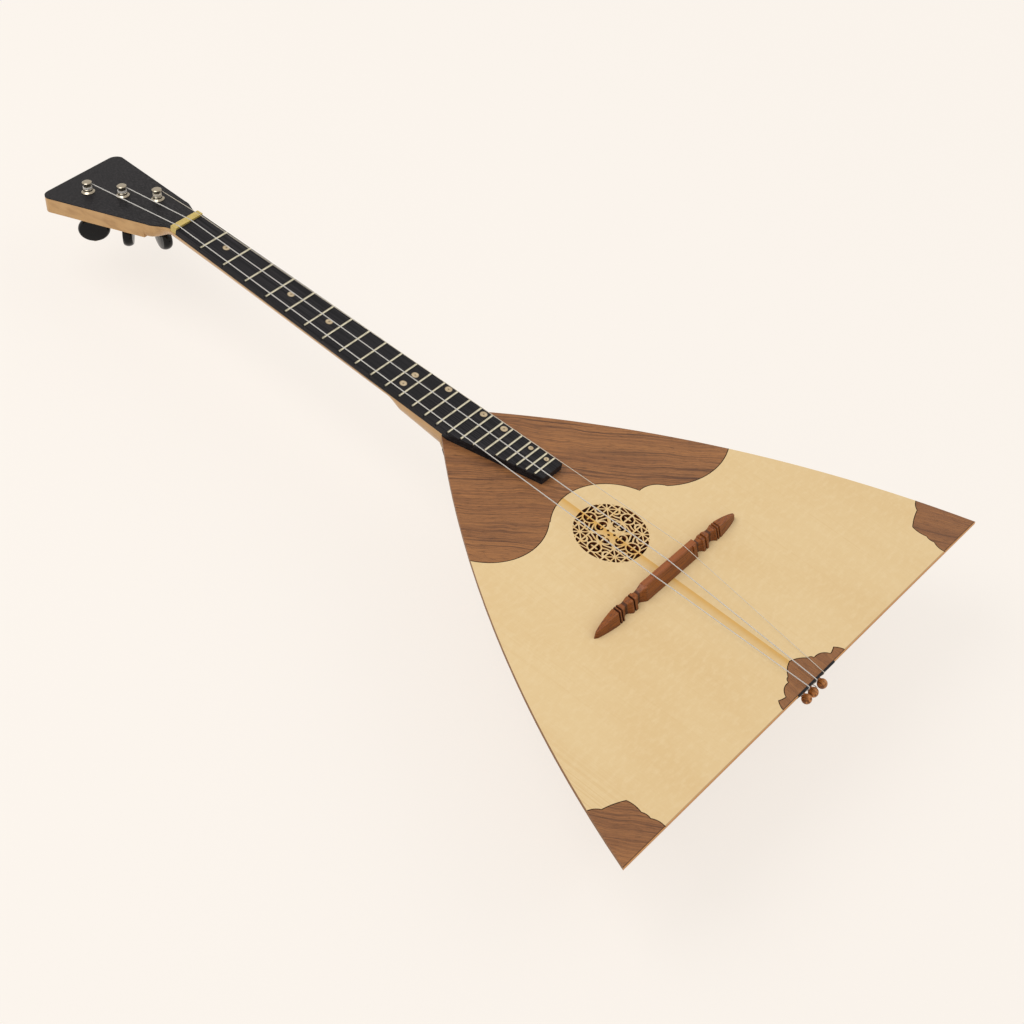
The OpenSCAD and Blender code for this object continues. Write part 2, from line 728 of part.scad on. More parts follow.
// The head's outline from s = from to its far end
corner_steps = 6;
module head_2d(from) {
    edge = [for (k = [0 : 12]) let (s = from + (throat_len - from) * k / 12) [head_hw(s), s]];
    corner_c = [head_hw(head_len - head_corner_r) - head_corner_r, head_len - head_corner_r];
    corner = [
        for (k = [0 : corner_steps])
        let (a = 90 * k / corner_steps)
        corner_c + head_corner_r * [cos(a), sin(a)]
    ];
    half = concat(from < throat_len ? edge : [[head_hw(from), from]], corner);
    polygon(concat(half, [for (k = [len(half) - 1 : -1 : 0]) [-half[k].x, half[k].y]]));
}

module on_head() {
    translate([0, head_y, head_z]) rotate([-head_tilt, 0, 0]) children();
}
module at_tuner(i) on_head() translate([tuner_x(i), tuner_s(i), 0]) children();

module sleeve_bores() {
    for (i = [0 : 2]) translate([tuner_x(i), tuner_s(i), -head_back - 1]) cylinder(r = sleeve_r, h = head_back + 2);
}

module headstock() {
    color(maple) place() on_head() difference() {
        translate([0, 0, -head_back]) linear_extrude(head_t) head_2d(throat_len);
        sleeve_bores();
    }
}

module head_veneer() {
    first = head_s0 + 0.1;
    color(ebony) place() on_head() difference() {
        translate([0, 0, -veneer_t]) linear_extrude(veneer_t) head_2d(first);
        sleeve_bores();
    }
}

// --- Fingerboard ---------------------------------------------------------------
tongue_y = body_len - tongue_len;
function fret_y(n) = nut_y - scale_len * (1 - pow(2, -n / 12));
// The bass edge of the tongue is cut away towards its end
function bass_hw(y) =
    y >= body_len - 5 ? finger_hw(y) :
    finger_hw(y) - tongue_cut * (body_len - 5 - y) / (tongue_len - 5);

module fingerboard_2d(from, to) {
    ys = to > body_len - 5 && from < body_len - 5 ? [from, body_len - 5, to] : [from, to];
    polygon(concat(
        [for (y = ys) [finger_hw(y), y]],
        [for (k = [len(ys) - 1 : -1 : 0]) [-bass_hw(ys[k]), ys[k]]]
    ));
}

dot_frets = [2, 5, 7, 14, 17, 19];
small_dot_frets = [22, 24];
mid_dot_x = 1.2;
side_dot_x = 14.6;
double_dot = 6.2;
function dot_y(n) = (fret_y(n) + fret_y(n - 1)) / 2;
module dots() {
    translate([0, 0, finger_z - dot_t]) {
        for (n = dot_frets) translate([n < 12 ? mid_dot_x : side_dot_x, dot_y(n), 0]) children(0);
        for (side = [-1, 1]) translate([mid_dot_x + side * double_dot, dot_y(12), 0]) children(0);
        for (n = small_dot_frets) translate([side_dot_x, dot_y(n), 0]) children(1);
    }
}

module fingerboard() {
    color(ebony) place() difference() {
        union() {
            translate([0, 0, neck_rise]) linear_extrude(finger_t) fingerboard_2d(tongue_y, nut_y);
            linear_extrude(neck_rise + 1) fingerboard_2d(tongue_y, body_len);
        }
        for (n = [1 : fret_count])
            translate([-nut_w, fret_y(n) - tang_w / 2, finger_z - tang_h]) cube([2 * nut_w, tang_w, tang_h + 1]);
        dots() {
            cylinder(r = dot_r + press_gap, h = dot_t + 1);
            cylinder(r = small_dot_r + press_gap, h = dot_t + 1);
        }
    }
}

module frets() {
    crown_r = (fret_w * fret_w / 4 + fret_h * fret_h) / (2 * fret_h);
    color(nickel) place() for (n = [1 : fret_count]) {
        y = fret_y(n);
        left = bass_hw(y) - fret_inset;
        right = finger_hw(y) - fret_inset;
        translate([-left, y, finger_z]) rotate([90, 0, 90]) linear_extrude(left + right) {
            intersection() {
                translate([0, fret_h - crown_r]) circle(r = crown_r);
                translate([-fret_w, 0]) square([2 * fret_w, fret_w]);
            }
            translate([-tang_w / 2, -tang_h]) square([tang_w, tang_h + 0.1]);
        }
    }
}

module dot(r) {
    difference() {
        cylinder(r = r, h = dot_t);
        translate([0, 0, dot_t / 2]) cylinder(r = dot_eye_r, h = dot_t);
    }
}
module position_dots() {
    color(bone) place() dots() {
        dot(dot_r);
        dot(small_dot_r);
    }
}

// The string leaves the nut's front edge and falls away to its tuner
function nut_break(i) = [nut_x(i), nut_y + 0.6, nut_z + string_d(i) / 2 - 0.35];
function post_point(i) =
    let (p = head_point(tuner_x(i) + leave_off(i), tuner_s(i), leave_h(i))) p;
function nut_leave(i) =
    let (a = nut_break(i), b = post_point(i), u = (nut_len + 0.4) / (b.y - a.y))
    a + (b - a) * u;

module nut_slots() {
    for (i = [0 : 2]) {
        a = nut_break(i);
        b = nut_leave(i);
        r = string_d(i) / 2 + 0.05;
        translate([a.x - r, 0, 0]) rotate([90, 0, 90]) linear_extrude(2 * r + abs(b.x - a.x)) polygon([
            [nut_y - 1, a.z - r], [a.y, a.z - r], [b.y + 1, b.z - r - 0.2],
            [b.y + 1, nut_z + 1], [nut_y - 1, nut_z + 1]
        ]);
    }
}

module nut() {
    color(bone) place() difference() {
        rotate([90, 0, 90]) translate([0, 0, -nut_w / 2 + 0.3]) linear_extrude(nut_w - 0.6) polygon([
            [nut_y, neck_rise], [nut_y + nut_len, neck_rise], [nut_y + nut_len, nut_z - 0.9],
            [nut_y + nut_len - 0.8, nut_z - 0.4], [nut_y + 1, nut_z], [nut_y, nut_z]
        ]);
        nut_slots();
    }
}

// --- Bridge ------------------------------------------------------------------
// Each arm is carved from the block's own shape: coves, rings and cuts, then a leaf.
// Stations along an arm: distance from the block's bass end, fullness, height
cut = 0.86;
arm_cuts = [
    [-1, 1, 1.22], [0, 1, 1.22], [1.5, 0.75, 1.13], [3.2, 0.35, 1], [5.2, 0, 0.88], [7.2, 0.08, 0.86],
    [9, 0.5, 0.89], [9.5, 0.7, 0.92], [9.8, 1, 1], [12.2, 1, 1], [12.4, 0.6, cut], [13.5, 0.6, cut],
    [13.7, 1, 1], [15.4, 1, 0.99], [16.5, 0.7, 0.94], [18, 0.25, 0.88], [19.8, 0, 0.85], [21.6, 0.15, 0.85],
    [23.4, 0.6, 0.89], [24, 0.85, 0.93], [24.3, 1, 1], [25.2, 1, 1], [25.4, 0.6, cut], [26.4, 0.6, cut],
    [26.6, 1, 1], [27.9, 1, 1], [28.1, 0.6, cut], [29, 0.6, cut], [29.2, 1, 0.99]
];
leaf_steps = 10;
leaf_len = 22.1;
arm_len = arm_cuts[len(arm_cuts) - 1][0] + leaf_len;
cove = 2.9;
bridge_back = 0.6;
// A section of an arm: x from the block, fullness w, height h, and for the leaf its share of the size
function arm_ring(x, w, h, share = 1) =
    let (
        in = cove * (1 - w),
        top = arm_h * h,
        back = bridge_back - in * 0.2,
        root = -bridge_foot * 0.45
    )
    [
        for (p = [
            [in - bridge_foot, 0], [in * 0.45 - bridge_foot * 0.57, top * 0.97],
            [in * 0.35 - bridge_foot * 0.5, top], [back - 0.4, top], [back, top - 0.35], [back, 0]
        ])
        [x, root + (p.x - root) * share, p.y * (0.35 + 0.65 * share) * min(1, share * 4)]
    ];
module arm() {
    last = arm_cuts[len(arm_cuts) - 1];
    stretch = (bridge_len - block_len + 2 * block_shift) / 2 / arm_len;
    loft(concat(
        [for (c = arm_cuts) arm_ring(c[0] * stretch, c[1], c[2])],
        [
            for (k = [1 : leaf_steps])
            let (u = k / leaf_steps)
            arm_ring((last[0] + leaf_len * u) * stretch, 1, 0.99, 0.97 * sqrt(1 - pow(u, 1.9)) * (1 - 0.35 * u) + 0.03)
        ]
    ));
}

// The block sits a little to the treble side of the carving
block_shift = 1.4;
module bridge() {
    color(rosewood) place() translate([bridge_x, bridge_y, 0]) {
        translate([block_shift - block_len / 2, 0, 0]) rotate([90, 0, 90]) linear_extrude(block_len) polygon([
            [bridge_back, 0], [bridge_back, bridge_h - 0.4], [bridge_back - 0.4, bridge_h],
            [-bridge_crown, bridge_h - 0.25], [-bridge_foot, 0.5], [-bridge_foot, 0]
        ]);
        for (side = [0, 1]) mirror([side, 0, 0]) translate([block_len / 2 - block_shift, 0, 0]) arm();
    }
}

// --- Tail ----------------------------------------------------------------------
module tail_saddle() {
    low = -board_t - saddle_seat;
    color(ebony) place() rotate([90, 0, 90]) translate([0, 0, saddle_x - saddle_len / 2])
    linear_extrude(saddle_len) polygon([
        [saddle_seat, low], [saddle_seat, saddle_h - 0.2], [saddle_seat - 0.3, saddle_h],
        [-saddle_out + 0.3, saddle_h], [-saddle_out, saddle_h - 0.3], [-saddle_out, -0.6],
        [0, -0.6 - saddle_out], [0, low]
    ]);
}

module tail_pin(i) {
    color(rosewood) place() at_pin(i) rotate_extrude() {
        translate([0, -shank_len]) square([pin_shank_r, shank_len]);
        square([pin_neck_r, pin_out]);
        intersection() {
            translate([0, pin_out]) circle(r = ball_r);
            translate([0, -ball_r]) square([2 * ball_r, pin_out + 3 * ball_r]);
        }
    }
}

// --- Strings -------------------------------------------------------------------
// A hitch round the pin's neck, then up over the saddle, the bridge and the nut
loop_steps = 10;
function hitch(i) =
    let (
        d = string_d(i), r = pin_neck_r + 0.1 + d / 2, h = 0.15 + d / 2,
        out = [0, -cos(panel_lean), -sin(panel_lean)], up = [0, -sin(panel_lean), cos(panel_lean)],
        c = [pin_x(i), pin_y(i), pin_z(i)] + h * out
    )
    [
        for (k = [0 : loop_steps])
        let (a = 115 + (360 - 115) * k / loop_steps)
        c + r * (cos(a) * [1, 0, 0] + sin(a) * up)
    ];
function route(i) =
    let (
        r = string_d(i) / 2, g = r + 0.05,
        t = [tail_x(i), 0, 0], b = [bridge_string_x(i), bridge_y, bridge_h + string_gap + r],
        n = nut_break(i), post = post_point(i)
    )
    concat(
        hitch(i),
        [
            t + [0, -saddle_out - g, -0.7],
            t + [0, -saddle_out - g, saddle_h - 0.4],
            t + [0, -saddle_out - g * 0.5, saddle_h + g * 0.75],
            t + [0, 0, saddle_h + g + 0.05],
            t + [0, saddle_seat, saddle_h + g + 0.15],
            b - (b - t) * 0.03 + [0, 0, 0.05],
            b,
            b + (n - b) * 0.02,
            n - [0, 1, 0],
            n,
            nut_leave(i),
            post
        ]
    );
module string(i) {
    color(nickel) place() wire(route(i), string_d(i), [0, 1, 0]);
}

// --- Tuners -----------------------------------------------------------------------
collar_r = shaft_r + 0.85;
module tuner_bushing(i) {
    bore = shaft_r + shaft_gap;
    color(nickel) place() at_tuner(i) rotate_extrude() polygon([
        [bore, -head_back], [sleeve_r, -head_back], [sleeve_r, 0], [skirt_r, 0], [skirt_r, 0.6],
        [skirt_r - 0.6, 1], [collar_r + 0.1, 1.6], [collar_r, skirt_h - 0.3],
        [collar_r - 0.3, skirt_h], [bore, skirt_h]
    ]);
}

module tuner_cup(i) {
    bore = shaft_r + shaft_gap;
    color(nickel) place() at_tuner(i) translate([0, 0, -head_back]) rotate_extrude() polygon([
        [bore, 0], [cup_r, 0], [cup_r, -1], [cup_r - 1.2, -cup_h + 0.4], [cup_r - 1.8, -cup_h], [bore, -cup_h]
    ]);
}

button_top = -button_depth + button_h / 2;
shaft_low = -button_depth - button_h / 2 + 9;
screw_r = 1.4;
module tuner_post(i) {
    cap_low = post_h - 1.3;
    color(nickel) place() at_tuner(i) difference() {
        rotate_extrude() polygon([
            [0, shaft_low], [shaft_r, shaft_low], [shaft_r, skirt_h + 0.2], [barrel_r, skirt_h + 0.25],
            [barrel_r, cap_low - 0.5], [cap_r - 0.3, cap_low], [cap_r, cap_low + 0.2],
            [cap_r, post_h - 0.5], [cap_r - 0.6, post_h - 0.1], [cap_r * 0.5, post_h], [0, post_h]
        ]);
        rotate([0, 0, button_turn[i]]) translate([0, 0, winding_base + 1]) rotate([90, 0, 0])
            cylinder(r = 0.7, h = 3 * barrel_r, center = true);
        translate([0, 0, shaft_low - 1]) cylinder(r = screw_r + press_gap, h = 8);
    }
}

// An oval button with crowned faces and a rounded rim, on a short round neck
module tuner_button(i) {
    neck_top = -head_back - cup_h - 0.3;
    half_t = button_t / 2 / button_w;
    color(ebony) place() at_tuner(i) rotate([0, 0, button_turn[i]]) difference() {
        union() {
            translate([0, 0, -button_depth]) rotate([90, 0, 0]) scale([button_w, button_h, button_w])
            rotate_extrude() polygon(concat(
                [[0, -half_t], [0.24, -0.95 * half_t]],
                [for (k = [0 : 6]) let (a = -60 + 20 * k)
                    [0.5 - 0.13 * (1 - cos(a)), 0.82 * half_t * sin(a) / sin(60)]],
                [[0.24, 0.95 * half_t], [0, half_t]]
            ));
            translate([0, 0, button_top - 3]) cylinder(r = 5, h = neck_top - button_top + 3);
        }
        translate([0, 0, shaft_low - press_gap]) cylinder(r = shaft_r + press_gap, h = 2 * button_depth);
        translate([0, 0, shaft_low - button_h]) cylinder(r = screw_r + 0.2, h = button_h + 1);
        translate([0, 0, -button_depth - button_h]) cylinder(r = 2.9, h = button_h / 2 + 2.2);
    }
}

module tuner_screw(i) {
    head_low = -button_depth - button_h / 2 + 0.4;
    color(nickel) place() at_tuner(i) difference() {
        union() {
            translate([0, 0, head_low]) cylinder(r = 2.7, h = 1.8);
            translate([0, 0, head_low + 1]) cylinder(r = screw_r, h = shaft_low + 6 - head_low - 1);
        }
        translate([-3, -0.35, head_low - 1]) cube([6, 0.7, 1.6]);
    }
}

module string_winding(i) {
    d = string_d(i);
    mid_r = barrel_r + 0.02 + d / 2;
    color(nickel) place() at_tuner(i) rotate_extrude() {
        for (k = [0 : turns(i) - 1]) translate([mid_r, winding_base + d * (k * 0.96 + 0.5)]) circle(r = d / 2, $fn = 24);
        translate([barrel_r, winding_base + d * 0.3]) square([d / 2 + 0.02, d * (turns(i) * 0.96 - 0.6)]);
    }
}

soundboard();
upper_inlay();
corner_inlay_bass();
corner_inlay_treble();
tail_inlay();
stave(0);  // stave_1
stave(1);  // stave_2
stave(2);  // stave_3
stave(3);  // stave_4
stave(4);  // stave_5
stave(5);  // stave_6
stave(6);  // stave_7
end_panel();
tail_block();
neck_block();
lining_bass();
lining_treble();
brace_upper();
brace_middle();
brace_lower();
rosette_ring();
neck();
headstock();
head_veneer();
fingerboard();
frets();
position_dots();
nut();
bridge();
tail_saddle();
tail_pin(0);  // tail_pin_1
tail_pin(1);  // tail_pin_2
tail_pin(2);  // tail_pin_3
string(0);  // string_1
string(1);  // string_2
string(2);  // string_3
tuner_bushing(0);  // tuner_bushing_1
tuner_bushing(1);  // tuner_bushing_2
tuner_bushing(2);  // tuner_bushing_3
tuner_cup(0);  // tuner_cup_1
tuner_cup(1);  // tuner_cup_2
tuner_cup(2);  // tuner_cup_3
tuner_post(0);  // tuner_post_1
tuner_post(1);  // tuner_post_2
tuner_post(2);  // tuner_post_3
tuner_button(0);  // tuner_button_1
tuner_button(1);  // tuner_button_2
tuner_button(2);  // tuner_button_3
tuner_screw(0);  // tuner_screw_1
tuner_screw(1);  // tuner_screw_2
tuner_screw(2);  // tuner_screw_3
string_winding(0);  // string_winding_1
string_winding(1);  // string_winding_2
string_winding(2);  // string_winding_3
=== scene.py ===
"""A prima balalaika: finishes, inlay lines, stave seams, a snipped string end and a stage."""

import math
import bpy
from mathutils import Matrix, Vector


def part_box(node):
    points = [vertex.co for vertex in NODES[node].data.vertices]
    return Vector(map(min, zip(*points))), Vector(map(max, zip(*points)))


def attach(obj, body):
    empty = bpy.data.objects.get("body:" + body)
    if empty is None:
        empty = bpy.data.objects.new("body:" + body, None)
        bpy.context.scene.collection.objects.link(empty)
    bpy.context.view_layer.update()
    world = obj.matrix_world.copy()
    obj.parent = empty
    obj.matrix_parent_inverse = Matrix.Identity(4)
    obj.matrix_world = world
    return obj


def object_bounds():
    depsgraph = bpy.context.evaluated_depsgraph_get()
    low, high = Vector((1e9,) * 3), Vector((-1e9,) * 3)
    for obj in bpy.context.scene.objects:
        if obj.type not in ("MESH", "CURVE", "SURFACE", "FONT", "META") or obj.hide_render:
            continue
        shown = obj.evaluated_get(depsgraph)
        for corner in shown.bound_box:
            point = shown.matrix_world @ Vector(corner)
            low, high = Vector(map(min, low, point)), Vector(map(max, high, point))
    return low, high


bl_info = {
    "name": "Prima balalaika",
    "version": (1, 0, 0),
    "blender": (4, 5, 0),
    "location": "View3D > Sidebar > Balalaika",
    "description": "Dresses the balalaika's frame with woods and metals, and adds its thin trim",
    "category": "Object",
}

import bmesh
import bpy
from bpy.props import FloatProperty, FloatVectorProperty, PointerProperty
from mathutils import Matrix, Vector
from mathutils.kdtree import KDTree

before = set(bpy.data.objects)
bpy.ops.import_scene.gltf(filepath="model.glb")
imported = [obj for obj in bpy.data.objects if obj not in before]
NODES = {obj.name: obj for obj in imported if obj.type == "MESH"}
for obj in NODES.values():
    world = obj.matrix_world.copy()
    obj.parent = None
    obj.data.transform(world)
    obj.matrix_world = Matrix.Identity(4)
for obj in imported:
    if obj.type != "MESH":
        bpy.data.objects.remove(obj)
CAD_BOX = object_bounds()
STAVES = sorted(name for name in NODES if name.startswith("stave_"))

MM = 0.001
BOARD_LOW, BOARD_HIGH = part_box("soundboard")
# The middle of the soundboard's tail edge, on its top face
ORIGIN = Vector((0, BOARD_LOW.y, BOARD_HIGH.z))
STRINGS = (1, 2, 3)
# Points of a CAD node's mesh that are closer than this are one point
MERGE = 0.00001
# How far the end panel leans in under the soundboard
PANEL_LEAN = math.radians(18)
# Air between a string's hitch and the end panel, and between it and its pin
HITCH_OFF_PANEL = 0.15 * MM
HITCH_OFF_PIN = 0.1 * MM
# Half the soundboard's width at the neck, and how far its sides bow out, in millimetres
NECK_END_HALF = 18.0
SIDE_BOW = 18.0
# The part of a plate's rim that counts as the soundboard's own edge
RIM_MARGIN = 0.5 * MM
# An inlay line's height, as a share of its width
LINE_FLATNESS = 0.25
# An edge of a stave that is bent by fewer radians than this lies in a flat face
LEAST_EDGE_ANGLE = 0.3
# The camera's place from the tail edge's middle in metres, and its turns in radians
CAMERA_PLACE = (-0.908146, -0.268546, 1.043580)
CAMERA_YAW, CAMERA_PITCH, CAMERA_ROLL = 1.05770, 0.80603, 0.24448
SENSOR_WIDTH = 36
# The lamps' places and their width, and the floor's width and drop, in metres
KEY_PLACE = (-0.9, 0.9, 1.9)
FILL_PLACE = (1.2, -0.9, 1.5)
LAMP_WIDTH = 1.6
FLOOR_WIDTH = 12
FLOOR_DROP = 0.0003
# Where the floor's shade starts to fade and where it is gone, in millimetres
SHADE_FADES = (450, 1300)
SHADE_MIDDLE_Y = 300


def srgb(red, green, blue):
    """A linear colour from the 0 to 255 numbers of a colour picker."""
    def linear(c):
        c /= 255
        return c / 12.92 if c <= 0.04045 else ((c + 0.055) / 1.055) ** 2.4
    return (linear(red), linear(green), linear(blue))


# --- Shader maths -----------------------------------------------------------


class Wire:
    """A value that flows through a material's nodes, with the usual operators."""

    def __init__(self, shader, socket):
        self.shader = shader
        self.socket = socket

    def math(self, operation, *others):
        inputs = dict(enumerate((self,) + others))
        return self.shader.node("ShaderNodeMath", {"operation": operation}, inputs)

    def flipped(self, operation, other):
        return self.shader.node("ShaderNodeMath", {"operation": operation}, {0: other, 1: self})

    def __add__(self, other):
        return self.math("ADD", other)

    __radd__ = __add__

    def __sub__(self, other):
        return self.math("SUBTRACT", other)

    def __rsub__(self, other):
        return self.flipped("SUBTRACT", other)

    def __mul__(self, other):
        return self.math("MULTIPLY", other)

    __rmul__ = __mul__

    def __truediv__(self, other):
        return self.math("DIVIDE", other)

    def __rtruediv__(self, other):
        return self.flipped("DIVIDE", other)

    def __pow__(self, other):
        return self.math("POWER", other)

    def step(self, low, high):
        """0 below low, 1 above high, smooth between them."""
        settings = {"interpolation_type": "SMOOTHSTEP"}
        inputs = {0: self, 1: low, 2: high, 3: 0.0, 4: 1.0}
        return self.shader.node("ShaderNodeMapRange", settings, inputs)

    def band(self, low, high, soft):
        """1 between low and high, with soft edges."""
        return self.step(low - soft, low + soft) - self.step(high - soft, high + soft)


class Shader:
    """Builds one material."""

    def __init__(self, name):
        self.material = bpy.data.materials.new(name)
        self.material.use_nodes = True
        self.nodes = self.material.node_tree.nodes
        self.links = self.material.node_tree.links
        self.surface = self.nodes["Principled BSDF"]

    @classmethod
    def of_tree(cls, tree, surface):
        """A builder for nodes that already exist, such as the sky's."""
        shader = cls.__new__(cls)
        shader.material, shader.nodes, shader.links = None, tree.nodes, tree.links
        shader.surface = tree.nodes[surface]
        return shader

    def node(self, kind, settings=None, inputs=None, out=0):
        """Adds a node: its settings first, then the values or links of its sockets."""
        new = self.nodes.new(kind)
        for key, value in (settings or {}).items():
            setattr(new, key, value)
        for key, value in (inputs or {}).items():
            self.feed(new.inputs[key], value)
        return Wire(self, new.outputs[out])

    def feed(self, socket, value):
        if isinstance(value, Wire):
            self.links.new(value.socket, socket)
        elif hasattr(value, "__len__") and len(value) == 3 and socket.type == "RGBA":
            socket.default_value = (*value, 1)
        else:
            socket.default_value = value

    def place(self):
        """The surface's own x, y and z in millimetres from the tail edge's middle."""
        coords = self.node("ShaderNodeTexCoord", out=3)
        split = self.node("ShaderNodeSeparateXYZ", None, {0: coords})
        names = split.socket.node.outputs
        return [(Wire(self, names[k]) - ORIGIN[k]) * 1000 for k in range(3)]

    def upward(self):
        """How far the surface's own normal points straight up or down, 0 to 1."""
        normal = self.node("ShaderNodeTexCoord", out=1)
        parts = self.node("ShaderNodeSeparateXYZ", None, {0: normal}, out=2)
        return parts.math("ABSOLUTE")

    def vector(self, x, y, z):
        return self.node("ShaderNodeCombineXYZ", None, {0: x, 1: y, 2: z})

    def noise(self, vector, scale=1.0, detail=2.0, roughness=0.5, distortion=0.0):
        inputs = {
            "Vector": vector,
            "Scale": scale,
            "Detail": detail,
            "Roughness": roughness,
            "Distortion": distortion,
        }
        return self.node("ShaderNodeTexNoise", {"noise_dimensions": "3D"}, inputs)

    def mix(self, factor, first, second, blend="MIX"):
        settings = {"data_type": "RGBA", "blend_type": blend}
        return self.node("ShaderNodeMix", settings, {0: factor, 6: first, 7: second}, out=2)

    def bump(self, height, distance, strength=1.0):
        inputs = {"Strength": strength, "Distance": distance, "Height": height}
        self.feed(self.surface.inputs["Normal"], self.node("ShaderNodeBump", None, inputs))

    def finish(self, **values):
        """Sets the surface's sockets, such as Base_Color, and returns the material."""
        for name, value in values.items():
            self.feed(self.surface.inputs[name.replace("_", " ")], value)
        return self.material


def dress(material, *names):
    """Gives CAD nodes a finish."""
    for name in names:
        mesh_object = NODES[name]
        if not mesh_object.material_slots:
            mesh_object.data.materials.append(material)
        for slot in mesh_object.material_slots:
            slot.material = material


# --- Woods, metals and the rest ----------------------------------------------

# The thin satin polish of the soundboard and its inlays
OPEN_WOOD = {"Specular_IOR_Level": 0.3, "Coat_Weight": 0.05, "Coat_Roughness": 0.3}


def turned(shader, x, y, degrees):
    """Coordinates along and across a grain that runs at that angle from +X."""
    c, s = math.cos(math.radians(degrees)), math.sin(math.radians(degrees))
    return x * c + y * s, y * c - x * s


def tail_strip(shader, y, tone, colors, strength):
    """The honey-coloured strip along the tail edge, with a fine dark line inside it."""
    tone = shader.mix(y.band(0.45, 0.9, 0.1) * strength, tone, colors.line)
    return shader.mix(1 - y.step(0.35, 0.45), tone, colors.honey_edge)


def spruce_finish(colors):
    """Quarter-sawn spruce with fine grain, silk, the honey joint and the burnt fretwork, and
    painted shade on the spruce deep inside the body.
    """
    shader = Shader("spruce")
    x, y, z = shader.place()
    drift = shader.noise(shader.vector(x * 0.012, y * 0.004, z * 0.02), detail=1)
    across = x + drift * 9
    grain = shader.vector(across * 0.75, y * 0.004, z * 0.01)
    rings = shader.noise(grain, detail=3, roughness=0.62)
    fibres = shader.noise(shader.vector(across * 3.2, y * 0.05, z * 0.6), detail=2)
    broad = shader.noise(shader.vector(across * 0.02, y * 0.008, 0.0), detail=2)
    silk = shader.noise(shader.vector(x * 0.13, y * 0.26, z * 0.2), detail=4, roughness=0.65)
    tone = shader.mix(rings.step(0.5, 0.78) * 0.2, colors.spruce, colors.spruce_ring)
    tone = shader.mix(broad.step(0.35, 0.72) * 0.6, tone, colors.spruce_warm)
    tone = shader.mix(fibres.step(0.35, 0.8) * 0.12, tone, colors.spruce_ring)
    tone = shader.mix(silk.step(0.42, 0.75) * 0.45, tone, colors.spruce_pale)
    lines = shader.noise(shader.vector(x * 0.9, y * 0.003, 0.0), detail=1).step(0.45, 0.6)
    tone = shader.mix((x * -1).step(148, 180) * lines * 0.3, tone, colors.spruce_ring)
    joint = (x.step(-8.2, -6.6) * 0.3 + x.step(-6.0, 0.2) * 0.5) * (1 - x.step(0.1, 0.6))
    tone = shader.mix(joint * (broad * 0.3 + 0.85), tone, colors.honey)
    tone = tail_strip(shader, y, tone, colors, 0.45)
    rim = 1 - shader.upward().step(0.3, 0.6)
    tone = shader.mix(rim * y.step(0.4, 1.0), tone, colors.rim)
    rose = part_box("rosette_ring")
    middle = ((rose[0] + rose[1]) / 2 - ORIGIN) / MM
    far = ((x - middle.x) ** 2 + (y - middle.y) ** 2) ** 0.5
    inner = 1 - far.step(25.4, 26.2)
    smoke = inner * shader.noise(shader.vector(x * 0.3, y * 0.3, z * 0.3)).step(0.3, 0.75)
    tone = shader.mix(smoke * 0.5, tone, colors.honey)
    burnt = (1 - far.step(25.9, 26.3)) * (1 - z.step(-0.35, -0.05))
    tone = shader.mix(burnt, tone, colors.scorch)
    # Painted shade: everything more than about 2.6 mm below the top face, the wood inside the
    # body, is darkened as if in the body's shadow.
    tone = shader.mix((1 - z.step(-2.7, -2.5)) * 0.8, tone, colors.inside)
    shader.bump(rings * 0.5 + fibres * 0.5, 0.00005, 0.5)
    rough = rings * 0.12 + 0.42
    return shader.finish(Base_Color=tone, Roughness=rough, **OPEN_WOOD)


def walnut_finish(colors, name, degrees, fineness=1.0, contrast=1.0, strip=False):
    """Walnut with dark growth bands, hair-fine streaks and short open pores."""
    shader = Shader(name)
    x, y, z = shader.place()
    along, across = turned(shader, x, y, degrees)
    sway = shader.noise(shader.vector(along * 0.01, across * 0.014, 0.0), detail=3)
    ripple = shader.noise(shader.vector(along * 0.05, across * 0.08, 2.0), detail=2)
    across = (across + sway * 22 + ripple * 1.4) * fineness
    wide = shader.noise(shader.vector(along * 0.006, across * 0.07, 0.0), detail=2, roughness=0.6)
    groups = shader.noise(shader.vector(along * 0.003, across * 0.045, 7.0), detail=2)
    groups = groups.step(0.36, 0.62)
    grain = shader.vector(along * 0.007, across * 0.42, z * 0.1)
    bands = shader.noise(grain, detail=4, roughness=0.75)
    grain = shader.vector(along * 0.014, across * 2.4, z * 0.4)
    hairs = shader.noise(grain, detail=3, roughness=0.75)
    pores = shader.noise(shader.vector(along * 0.14, across * 3.2, z), detail=2, roughness=0.7)
    tone = shader.mix(wide.step(0.34, 0.66), colors.walnut_pale, colors.walnut)
    dark = bands.step(0.5, 0.58) * (groups * 0.75 + 0.2) * contrast
    tone = shader.mix(dark, tone, colors.walnut_dark)
    tone = shader.mix(hairs.step(0.5, 0.62) * 0.55 * contrast, tone, colors.walnut_dark)
    glow = shader.noise(shader.vector(along * 0.015, across * 1.0, 4.0), detail=3, roughness=0.6)
    tone = shader.mix(glow.step(0.5, 0.66) * 0.65 * contrast, tone, colors.walnut_glow)
    pore_mask = pores.step(0.53, 0.66)
    tone = shader.mix(pore_mask * 0.65, tone, colors.walnut_pore)
    if strip:
        tone = tail_strip(shader, y, tone, colors, 0.9)
    shader.bump(1 - pore_mask, 0.00008, 0.6)
    rough = pore_mask * 0.2 + 0.46
    return shader.finish(Base_Color=tone, Roughness=rough, **OPEN_WOOD)


